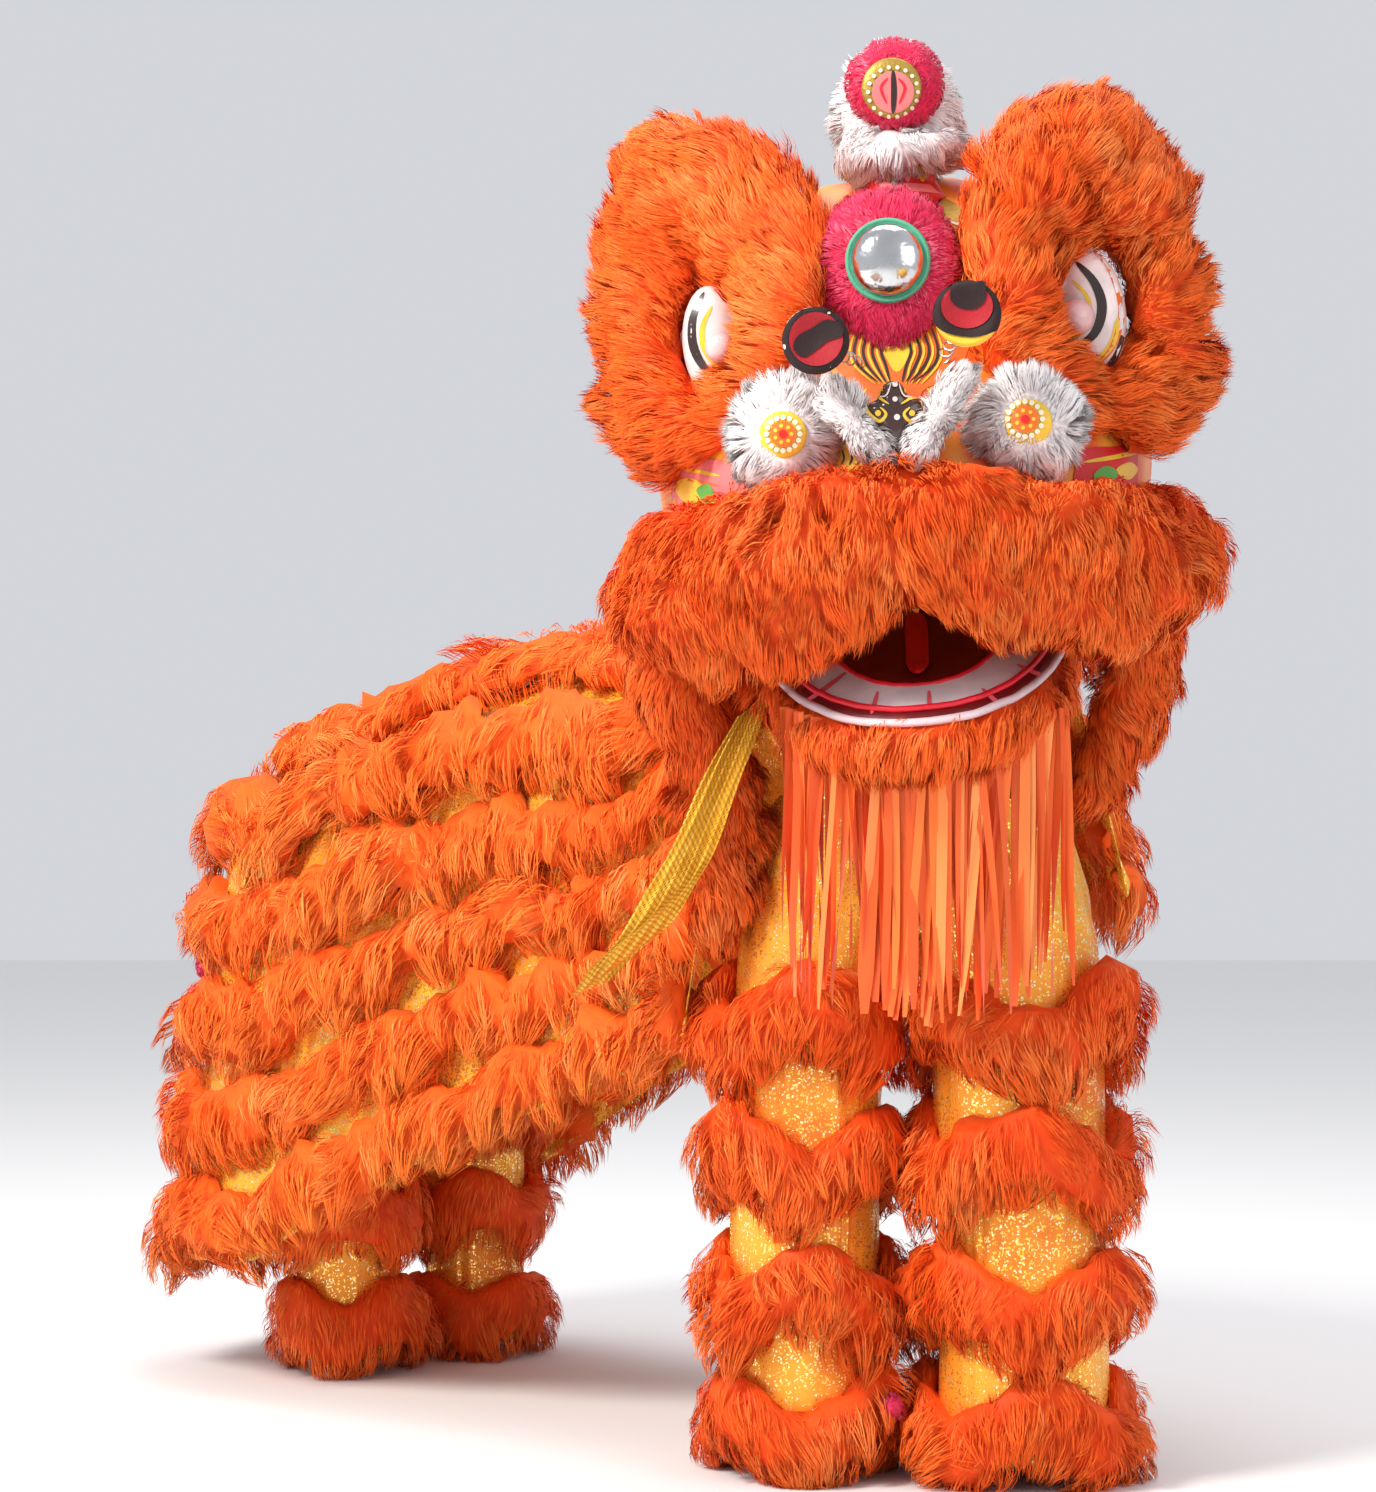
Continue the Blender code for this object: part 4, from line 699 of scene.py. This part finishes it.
# Painted detail: thin patches, each placed by its pixels in the photograph and laid on what carries it.
def curve_through(points, closed, steps=5):
    """More points along a smooth line through these."""
    p = np.array(points, float)
    n = len(p)
    found = []
    for k in range(n if closed else n - 1):
        ends = (k - 1, k, k + 1, k + 2)
        a, b, c, d = (p[e % n] if closed else p[min(max(e, 0), n - 1)] for e in ends)
        for t in np.arange(steps) / steps:
            bend = (2 * a - 5 * b + 4 * c - d) * t**2 + (3 * b - a - 3 * c + d) * t**3
            found.append(0.5 * (2 * b + (c - a) * t + bend))
    if not closed:
        found.append(p[-1])
    return np.array(found)


def inside(points, outline):
    """Which points lie inside the closed outline."""
    x, y = points[:, 0], points[:, 1]
    result = np.zeros(len(points), bool)
    for k in range(len(outline)):
        ax, ay = outline[k - 1]
        bx, by = outline[k]
        crosses = (ay > y) != (by > y)
        safe = np.where(by == ay, 1.0, by - ay)
        result ^= crosses & (x < ax + (y - ay) * (bx - ax) / safe)
    return result


LAYER = 0.00004  # each patch lies this much over the one before
DEEPEST = 0.09  # a point this much off its patch's usual depth has missed the carrier
NEAREST = 0.012  # a point that missed by less than this is moved to the carrier's edge


class Paintwork:
    """Patches of paint on one part of the head, kept as one object."""

    def __init__(self, name, slot, *carriers):
        self.name, self.slot, self.tree = name, slot, tree_of([SHAPES[carrier] for carrier in carriers])
        self.points, self.faces, self.slots, self.materials, self.depth = [], [], [], [], 0

    def lay(self, flat, faces, material, lift):
        """Casts the pixels onto the carrier, lifted a little, and keeps the faces that meet it all over."""
        rays = [sight(x, y) for x, y in flat]
        hits = [self.tree.ray_cast(CAMERA_AT, ray) for ray in rays]
        reach = [hit[3] for hit in hits if hit[0] is not None]
        if not reach:
            return
        usual = float(np.median(reach))
        self.depth += 1
        lift = lift + LAYER * self.depth
        start = len(self.points)
        met = []
        for ray, hit in zip(rays, hits):
            if hit[0] is not None and abs(hit[3] - usual) < DEEPEST:
                self.points.append(CAMERA_AT + ray * (hit[3] - lift))
                met.append(True)
            else:
                edge, normal, _, away = self.tree.find_nearest(CAMERA_AT + ray * usual)
                self.points.append(edge + normal * lift)
                met.append(away < NEAREST)
        if material not in self.materials:
            self.materials.append(material)
        for face in faces:
            if all(met[v] for v in face):
                self.faces.append([start + v for v in face])
                self.slots.append(self.materials.index(material))

    def area(self, outline, step, material, lift=0.0012, smooth=True):
        """A filled patch inside an outline."""
        edge = curve_through(outline, True, 4) if smooth else np.array(outline, float)
        low, high = edge.min(axis=0), edge.max(axis=0)
        columns = np.arange(low[0], high[0], step)
        lines = np.arange(low[1], high[1], step)
        grid = np.array([(x, y) for x in columns for y in lines])
        grid = grid[inside(grid, edge)] if len(grid) else np.zeros((0, 2))
        flat = [Vector(p) for p in np.vstack([edge, grid])]
        ring = list(range(len(edge)))
        made = delaunay_2d_cdt(flat, [], [ring], 1, 1e-5)
        self.lay([tuple(p) for p in made[0]], [f[::-1] for f in made[2]], material, lift)

    def line(self, points, width, material, lift=0.0016, taper=True):
        """A brush line through the points."""
        path = curve_through(points, False)
        along = np.gradient(path, axis=0)
        side = np.stack([-along[:, 1], along[:, 0]], 1)
        side /= np.maximum(np.linalg.norm(side, axis=1, keepdims=True), 1e-9)
        place = np.linspace(0, 1, len(path))
        narrow = np.sqrt(np.clip(4 * place * (1 - place), 0.03, 1)) if taper else np.ones(len(path))
        half = width / 2 * narrow
        flat = np.vstack([path - side * half[:, None], path + side * half[:, None]])
        n = len(path)
        faces = [(k, k + 1, n + k + 1, n + k) for k in range(n - 1)]
        self.lay([tuple(p) for p in flat], faces, material, lift)

    def dot(self, x, y, radius, material, lift=0.0018, flatten=1.0):
        """A round or flattened spot."""
        turns = [k * math.pi / 14 for k in range(28)]
        ring = [(x + radius * math.cos(a), y + radius * flatten * math.sin(a)) for a in turns]
        self.area(ring, max(2.0, radius / 7), material, lift, False)

    def paint(self, marks, middle=0, side=1):
        """Lays a table's marks, whose pixels may be counted to one side from a middle line."""
        for kind, size, finish, pixels, *lift in marks:
            placed = [(middle + side * x, y) for x, y in pixels]
            if kind == "dot":
                self.dot(*placed[0], size, finish, *lift)
            else:
                lay = self.line if kind == "line" else self.area
                lay(placed, size, finish, *lift)

    def finish(self):
        """Makes the patches one object."""
        made = build(self.name, self.points, self.faces, self.materials, slots=self.slots)
        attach(made, "root")


# Eyes: crescents of yellow, black, white and red round each ball.
EYE_MARKS = (  # kind, width, radius or grid step, paint, pixels, lift if unusual
    ("area", 6, EYE_WHITE, (
        (698, 280), (688, 305), (685, 335), (691, 368), (708, 390), (722, 392), (742, 380), (748, 340),
        (742, 300), (722, 278),
    )),
    ("line", 9, INK, ((704, 292), (693, 318), (693, 345), (703, 366), (716, 376))),
    ("line", 6, YELLOW, ((712, 306), (703, 325), (703, 345), (713, 362), (724, 368))),
    ("line", 6, YELLOW, ((694, 380), (706, 391), (722, 396))),
    ("area", 6, EYE_WHITE, (
        (1096, 236), (1126, 268), (1137, 318), (1122, 360), (1098, 382), (1060, 372), (1045, 330),
        (1050, 285), (1070, 250),
    )),
    ("line", 13, INK, ((1096, 240), (1120, 268), (1131, 310), (1121, 352), (1099, 378))),
    ("line", 7, ORANGE_PAINT, ((1100, 252), (1115, 280), (1122, 312), (1113, 346), (1096, 366))),
    ("line", 7, YELLOW, ((1118, 318), (1112, 344), (1092, 366))),
    ("line", 10, INK, ((1076, 262), (1094, 282), (1102, 307), (1094, 334), (1068, 354))),
    ("line", 5, YELLOW, ((1072, 280), (1086, 295), (1090, 312), (1084, 330), (1068, 343))),
)
eyes = Paintwork("eye_crescents", "eye_paint", "eye_left", "eye_right")
eyes.paint(EYE_MARKS)
eyes.finish()

# Balls: a black rim, a red velvet ring and a black middle. The right one's ring is a little flattened.
BALL_MARKS = (  # columns as in EYE_MARKS
    ("dot", 34.0, VELVET_BLACK, ((816, 340),), 0.0020),
    ("dot", 27.0, VELVET_RED, ((816, 339),), 0.0034),
    ("area", 3, VELVET_BLACK, (
        (794, 350), (797, 337), (812, 328), (826, 320), (842, 324), (842, 336), (828, 341), (816, 350),
        (804, 357),
    ), 0.0048),
    ("area", 3, VELVET_BLACK, (
        (932, 312), (940, 292), (958, 281), (980, 281), (998, 294), (1003, 314), (996, 330), (975, 337),
        (950, 334), (936, 326),
    ), 0.0020),
)
RIGHT_RING = (967, 306, 26.0, VELVET_RED, 0.0034, 0.86)  # x, y, radius, paint, lift, flatness
BALL_MIDDLE = (  # columns as in EYE_MARKS
    ("area", 3, VELVET_BLACK, (
        (952, 286), (966, 281), (984, 285), (985, 300), (975, 309), (960, 308), (951, 300),
    ), 0.0048),
)
balls = Paintwork("ball_faces", "ball_red", "ball_left", "ball_right")
balls.paint(BALL_MARKS)
balls.dot(*RIGHT_RING)
balls.paint(BALL_MIDDLE)
balls.finish()

# Nose: yellow scrolls, white dots and grey-white edge lines on black lacquer.
NOSE_MIDDLE = 895
NOSE_TIP = (3, 453)  # how far the tip lies right of the middle line, and its height, in pixels
NOSE_SCROLLS = (  # columns as in EYE_MARKS, off the middle line
    ("line", 3.2, YELLOW, ((6, 404), (15, 398), (22, 390), (16, 386), (12, 391))),
    ("line", 3.4, YELLOW, ((27, 396), (28, 410), (16, 421), (9, 414), (15, 407))),
    ("dot", 2.6, YELLOW, ((17, 391),)),
    ("dot", 3.0, YELLOW, ((17, 413),)),
)
NOSE_RIM = ((29, 400), (27, 420), (14, 436))  # pixels off the middle line
NOSE_TOP_LINE = (("line", 1.6, EYE_WHITE, ((4, 383), (10, 396), (28, 394))),)
NOSE_DOTS = (  # columns as in EYE_MARKS
    ("dot", 2.8, EYE_WHITE, ((895, 384),)),
    ("dot", 2.6, EYE_WHITE, ((895, 399),)),
    ("dot", 3.0, EYE_WHITE, ((897, 417),)),
)
nose = Paintwork("nose_scrolls", "nose_black", "nose")
for sign in (-1, 1):
    nose.paint(NOSE_SCROLLS, NOSE_MIDDLE, sign)
    rim = [(NOSE_MIDDLE + sign * x, y) for x, y in NOSE_RIM]
    nose.line([*rim, (NOSE_MIDDLE + NOSE_TIP[0] + sign * 3, NOSE_TIP[1])], 2.0, EYE_WHITE)
    nose.paint(NOSE_TOP_LINE, NOSE_MIDDLE, sign)
nose.paint(NOSE_DOTS)
nose.finish()

# Nostril discs: a toothed yellow rim round an orange middle.
DISC_FACES = ((783, 434, 21.0), (1025, 419, 22.0))  # middle and radius, in pixels
RIM_DOTS, PETAL_DOTS = 16, 7
discs = Paintwork("disc_faces", "disc_yellow", "nostril_disc_left", "nostril_disc_right")


def ring_of_dots(work, x, y, count, ring, radius, finish, lift):
    """Small spots at equal steps round a place."""
    for k in range(count):
        a = k * 2 * math.pi / count
        work.dot(x + ring * math.cos(a), y + ring * math.sin(a), radius, finish, lift)


for x, y, r in DISC_FACES:
    ring_of_dots(discs, x, y, RIM_DOTS, 0.80 * r, 2.6, CREAM, 0.0018)
    discs.dot(x, y, 0.62 * r, ORANGE_PAINT, 0.0014)
    ring_of_dots(discs, x, y, PETAL_DOTS, 0.40 * r, 2.0, YELLOW, 0.0020)
    discs.dot(x, y, 0.20 * r, RED_PAINT, 0.0024)
discs.finish()

# The shell's painted bridge, side strips and patches.
BRIDGE_MIDDLE = 896
BRIDGE_MARKS = (  # columns as in EYE_MARKS
    ("area", 8, ORANGE_PAINT, (
        (836, 330), (962, 322), (968, 350), (950, 378), (922, 392), (914, 432), (880, 432), (866, 396),
        (842, 376), (828, 352),
    ), 0.0010),
    ("area", 6, YELLOW, ((872, 330), (924, 328), (912, 352), (897, 372), (884, 354))),
)
PATCH_MARKS = (  # columns as in EYE_MARKS
    ("area", 6, YELLOW, ((800, 268), (824, 262), (832, 290), (826, 312), (806, 308))),
    ("area", 6, YELLOW, ((868, 440), (838, 446), (834, 466), (866, 470))),
)
SIDE_MARKS = (  # columns as in EYE_MARKS
    # the left strip's pink is the lit copy of the right strip's red: painted light
    ("area", 8, PINK_PAINT, ((636, 452), (690, 456), (740, 470), (736, 520), (690, 524), (640, 500)), 0.0010),
    ("line", 4.5, YELLOW, ((640, 462), (680, 468), (720, 476))),
    ("line", 3, ORANGE_PAINT, ((640, 472), (680, 478), (720, 486))),
    ("area", 6, YELLOW, (
        (674, 484), (690, 478), (704, 486), (716, 500), (706, 510), (690, 506), (680, 498),
    ), 0.0016),
    ("area", 6, LEAF_GREEN, ((696, 490), (708, 484), (714, 496), (706, 504)), 0.0022),
    # the right strip's red is the shaded copy of the left strip's pink: painted shade
    ("area", 8, RED_PAINT, (
        (1080, 452), (1120, 446), (1168, 436), (1172, 490), (1120, 500), (1078, 500),
    ), 0.0010),
    ("line", 4.5, YELLOW, ((1084, 462), (1120, 456), (1160, 446))),
    ("area", 6, LEAF_GREEN, ((1094, 474), (1106, 466), (1118, 472), (1112, 482), (1098, 484)), 0.0022),
    ("area", 6, YELLOW, ((1116, 470), (1130, 462), (1138, 470), (1128, 480)), 0.0020),
    ("area", 8, CREAM, (
        (838, 205), (866, 196), (900, 192), (936, 196), (962, 208), (962, 226), (930, 214), (896, 208),
        (862, 212), (840, 224),
    ), 0.0010),
    ("area", 6, PURPLE, ((892, 193), (936, 196), (938, 213), (892, 208)), 0.0016),
    ("area", 6, OLIVE_GOLD, ((936, 197), (960, 206), (960, 222), (938, 213)), 0.0016),
)
STRIPES = [((842 + 8 * k, 450), (844 + 8 * k, 458), (841 + 8 * k, 465)) for k in range(3)]


def flame(k, side):
    """The kth pair of flame lines on one side of the bridge, in pixels off its middle line."""
    x, top = 9 + 9 * k, 334 - 2 * k
    dark = ((x, top), (x + 6, 350), (x + 1, 366), (6 + 4 * k, 382))
    light = ((x + 4, top), (x + 10, 350), (x + 5, 366), (8 + 5 * k + 2 * side, 384))
    return ("line", 3, INK, dark, 0.0018), ("line", 2.4, YELLOW, light, 0.0018)


CHEEK_LINE = (("line", 4, YELLOW, ((30, 388), (38, 402), (28, 424), (16, 440)), 0.0018),)
shell = Paintwork("shell_paint", "head_paint", "head_shell")
shell.paint(BRIDGE_MARKS)
for sign in (-1, 1):
    for k in range(4):
        shell.paint(flame(k, sign), BRIDGE_MIDDLE, sign)
    shell.paint(CHEEK_LINE, BRIDGE_MIDDLE + 1, sign)
shell.paint(PATCH_MARKS)
for stripe in STRIPES:
    shell.line(stripe, 2.2, INK, 0.0018)
shell.paint(SIDE_MARKS)
shell.finish()

# Teeth: pink lines between them, gums inside and outside, and a pale outer lip.
mouth = Paintwork("tooth_lines", "tooth_white", "teeth", "jaw")
TOOTH_LINES = (  # from and to, in pixels
    ((846, 672), (802, 704)),
    ((822, 655), (786, 668)),
    ((878, 691), (871, 714)),
    ((929, 690), (930, 710)),
    ((982, 688), (1004, 707)),
    ((1017, 664), (1054, 680)),
    ((1034, 636), (1072, 642)),
)
for start, end in TOOTH_LINES:
    half = ((start[0] + end[0]) / 2, (start[1] + end[1]) / 2 + 1)
    mouth.line([start, half, end], 4.5, GUM_PINK, 0.0014)
mouth.finish()

BAND_OPENS = (0.0, 1.0, 0.35)  # the way in which the tooth band's U opens


def edge_path(name, far, columns=44):
    """The outer or inner edge of a U-shaped band, as points from one of its ends round to the other."""
    points = SHAPES[name][0]
    centre = points.mean(axis=0)
    axes = np.linalg.svd(points - centre, full_matrices=False)[2]
    flat = (points - centre) @ axes[:2].T
    back = math.atan2(*(np.array(BAND_OPENS) @ axes[:2].T)[::-1])
    turn = (np.arctan2(flat[:, 1], flat[:, 0]) - back) % (2 * math.pi)
    radius = np.linalg.norm(flat, axis=1)
    path = []
    for k in range(columns):
        near = np.abs(turn - (k + 0.5) * 2 * math.pi / columns) < math.pi / columns
        if near.any():
            far_out = np.argmax(np.where(near, radius, -1.0))
            far_in = np.argmin(np.where(near, radius, 9.0))
            path.append(points[far_out if far else far_in])
    return np.array(path)


def bead(name, path, radius, material, sides=8):
    """A round bead of soft trim along a path."""
    path = curve_through(path, False, 4)
    along = unit(np.gradient(path, axis=0))
    side = unit(np.cross(along, (0.0, 0.3, 1.0)))
    up = np.cross(side, along)
    points = []
    for k in range(sides):
        a = 2 * math.pi * k / sides
        points.append(path + radius * (side * math.cos(a) + up * math.sin(a)))
    points = np.array(points).transpose(1, 0, 2).reshape(-1, 3)
    n = len(path)
    faces = [
        (k * sides + c, k * sides + (c + 1) % sides, (k + 1) * sides + (c + 1) % sides, (k + 1) * sides + c)
        for k in range(n - 1)
        for c in range(sides)
    ]
    made = build(name, points, faces, material)
    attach(made, "root")


BEADS = (  # piece, band, its outer edge, radius, finish, slot
    ("inner_gum", "teeth", False, 0.0034, GUM_RED, "tooth_white"),
    ("outer_gum", "teeth", True, 0.0036, GUM_RED, "tooth_white"),
    ("outer_lip", "jaw", True, 0.0048, LIP_WHITE, "mouth_red"),
)
for name, band, far, radius, finish, slot in BEADS:
    bead(name, edge_path(band, far), radius, finish)

# Horn medallion: two salmon halves and a dark spine inside its ring.
MEDALLION = (893, 92)  # its middle, in pixels
MEDALLION_SPINE = (("line", 6, INK, ((893, 70), (894, 92), (893, 114)), 0.0018),)
MEDALLION_SIDE = (("line", 3, GUM_RED, ((5, 78), (12, 88), (6, 104)), 0.0018),)
horn = Paintwork("medallion_face", "horn_gold", "horn_medallion")
horn.dot(*MEDALLION, 21.0, PINK_PAINT, 0.0012)
horn.paint(MEDALLION_SPINE)
for sign in (-1, 1):
    horn.paint(MEDALLION_SIDE, MEDALLION[0], sign)
ring_of_dots(horn, *MEDALLION, 18, 25, 2.0, CREAM, 0.0016)
horn.finish()

# Drum under the horn: a row of painted petals over a pink line.
PETAL_PAINTS = (YELLOW, PINK_PAINT, YELLOW, ORANGE_PAINT, YELLOW)
PETAL = ((886, 152), (897, 150), (899, 166), (893, 182), (885, 168))  # the first one's outline, in pixels
PETAL_STEP = 15
DRUM_LINE = ((840, 190), (890, 186), (950, 190))
drum = Paintwork("drum_paint", "horn_gold", "horn_base")
for k, paint in enumerate(PETAL_PAINTS):
    drum.area([(x + PETAL_STEP * k, y) for x, y in PETAL], 5, paint)
drum.line(DRUM_LINE, 8.0, PINK_PAINT, 0.0012, False)
drum.finish()

# Beard: satin ribbons in two layers that hang from under the chin, tucked up and bowed back towards its ends.
BEARD_LAYERS = (  # ribbons, width, how far back, most shortening, darkest tone, lightest tone; the back layer's darker tones are painted shade behind the front one
    (46, 0.0125, 0.004, 0.14, 0.0, 0.7),
    (34, 0.0085, -0.004, 0.22, 0.1, 1.0),
)
BEARD_Y = -0.262
BEARD_TUCK = 0.030
BEARD_BOW = 0.045
BEARD_MARGIN = 0.006
RIBBON_STEPS = 14
rng = np.random.default_rng(60)
beard_low, beard_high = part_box("beard")
ribbon_points, ribbon_faces, ribbon_tone = [], [], []
for count, wide, back, shorter, darkest, lightest in BEARD_LAYERS:
    for k in range(count):
        share = (k + rng.uniform(0.1, 0.9)) / count
        top_x = beard_low.x + BEARD_MARGIN + (beard_high.x - beard_low.x - 2 * BEARD_MARGIN) * share
        length_share = 1.0 - 0.20 * abs(share - 0.5) - rng.uniform(0.0, shorter)
        lean = rng.normal(0, 0.015)
        turn, spin = rng.uniform(-0.6, 0.6), rng.uniform(-2.0, 2.0)
        half = 0.5 * wide * rng.uniform(0.65, 1.5)
        tone = rng.uniform(darkest, lightest)
        phase, bend = rng.uniform(0, 6.28), rng.uniform(0.003, 0.008)
        to_end = (2 * share - 1) ** 2
        top_z = beard_high.z + BEARD_TUCK * to_end
        start = len(ribbon_points)
        for j in range(RIBBON_STEPS + 1):
            t = j / RIBBON_STEPS
            z = top_z - (top_z - beard_low.z - 0.010) * length_share * t
            y = BEARD_Y + BEARD_BOW * to_end + 0.030 * t + back + bend * math.sin(phase + 5.0 * t) * t
            x = top_x + lean * t + 0.004 * math.sin(phase + 3.3 * t) * t
            angle = turn + spin * t
            narrow = half * (1.0 if t < 0.85 else 1.0 - 3.5 * (t - 0.85))
            for side in (-narrow, narrow):
                ribbon_points.append((x + side * math.cos(angle), y + side * math.sin(angle) * 0.8, z))
                ribbon_tone.append(tone)
        for j in range(RIBBON_STEPS):
            a = start + 2 * j
            ribbon_faces.append((a, a + 1, a + 3, a + 2))
beard = build("beard_ribbons", ribbon_points, ribbon_faces, SATIN, {"tone": ribbon_tone})
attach(beard, "root")
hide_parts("beard")

# Sash: gold mesh in long pleats.
SASH = (  # x, y, z over the floor, half width
    (-0.176, -0.104, 0.885, 0.022),
    (-0.211, -0.106, 0.805, 0.032),
    (-0.248, -0.100, 0.718, 0.040),
    (-0.286, -0.075, 0.649, 0.048),
    (-0.326, -0.020, 0.598, 0.050),
    (-0.368, 0.050, 0.552, 0.034),
)
SASH_COLUMNS = 40
SASH_STEPS = 12
PLEATS = 5
PLEAT_DEPTH = 0.0032
CREASE_DEPTH = 0.0012
SASH_FRONT = 0.0028  # how far it lies in front of the table's line
ACROSS, UP = 0.86, 0.50  # the cross direction
sash_path = curve_through(SASH, False, SASH_STEPS)
sash_points, sash_uv = [], []
for k, (x, y, z, half) in enumerate(sash_path):
    for c in range(SASH_COLUMNS + 1):
        share = 2 * c / SASH_COLUMNS - 1
        crease = CREASE_DEPTH * math.sin(17 * share + 0.2 * k)
        pleat = PLEAT_DEPTH * math.sin(PLEATS * math.pi * share + 0.03 * k) + crease
        ripple = 0.003 * math.sin(0.35 * k + 2.0 * share)
        across = x + half * share * ACROSS
        depth = y - SASH_FRONT + pleat + 0.004 * math.sin(4 * share + 9 * z)
        sash_points.append((across, depth, z + FLOOR_Z + half * share * UP + ripple))
        sash_uv.append((share * 0.045, 0.0065 * k))
n = SASH_COLUMNS + 1
sash_faces = [
    (k * n + c, k * n + c + 1, k * n + n + c + 1, k * n + n + c)
    for k in range(len(sash_path) - 1)
    for c in range(SASH_COLUMNS)
]
sash = build("sash_mesh", sash_points, sash_faces, GOLD_MESH, uv=sash_uv)
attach(sash, "root")
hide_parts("sash")


# Floor and light.
floor_mesh = bpy.data.meshes.new("floor")
floor_corners = [(-9, -9, FLOOR_Z), (9, -9, FLOOR_Z), (9, 12, FLOOR_Z), (-9, 12, FLOOR_Z)]
floor_mesh.from_pydata(floor_corners, [], [(0, 1, 2, 3)])
floor_net = Net("floor")
floor_net.set(Base_Color=(0.86, 0.855, 0.85), Roughness=0.9)
floor_mesh.materials.append(floor_net.material)
floor = bpy.data.objects.new("floor", floor_mesh)
bpy.context.scene.collection.objects.link(floor)

SKY = (0.93, 0.95, 1.0, 1.0)
SKY_STRENGTH = 0.70
world = bpy.data.worlds.new("world")
bpy.context.scene.world = world
world.use_nodes = True
world.node_tree.nodes["Background"].inputs["Color"].default_value = SKY
world.node_tree.nodes["Background"].inputs["Strength"].default_value = SKY_STRENGTH


def area_light(name, place, aim, size, power, tint):
    """A square lamp at a place, turned to its aim."""
    light = bpy.data.lights.new(name, "AREA")
    light.energy = power
    light.size = size
    light.color = tint
    made = bpy.data.objects.new(name, light)
    bpy.context.scene.collection.objects.link(made)
    made.location = place
    made.rotation_euler = (Vector(aim) - Vector(place)).to_track_quat("-Z", "Y").to_euler()


LIGHTS = (  # name, place, aim, size, watts, tint
    ("key", (-3.2, -2.6, 2.8), (-0.2, 0.2, -0.2), 1.6, 300, (1.0, 0.96, 0.90)),
    ("fill", (3.0, -3.6, 1.2), (-0.2, 0.2, -0.4), 3.0, 40, (1, 1, 1)),
    ("top", (0.0, 1.0, 3.4), (-0.3, 0.4, -0.4), 3.0, 80, (1, 1, 1)),
)
for light in LIGHTS:
    area_light(*light)

bpy.context.scene.view_settings.view_transform = "Standard"
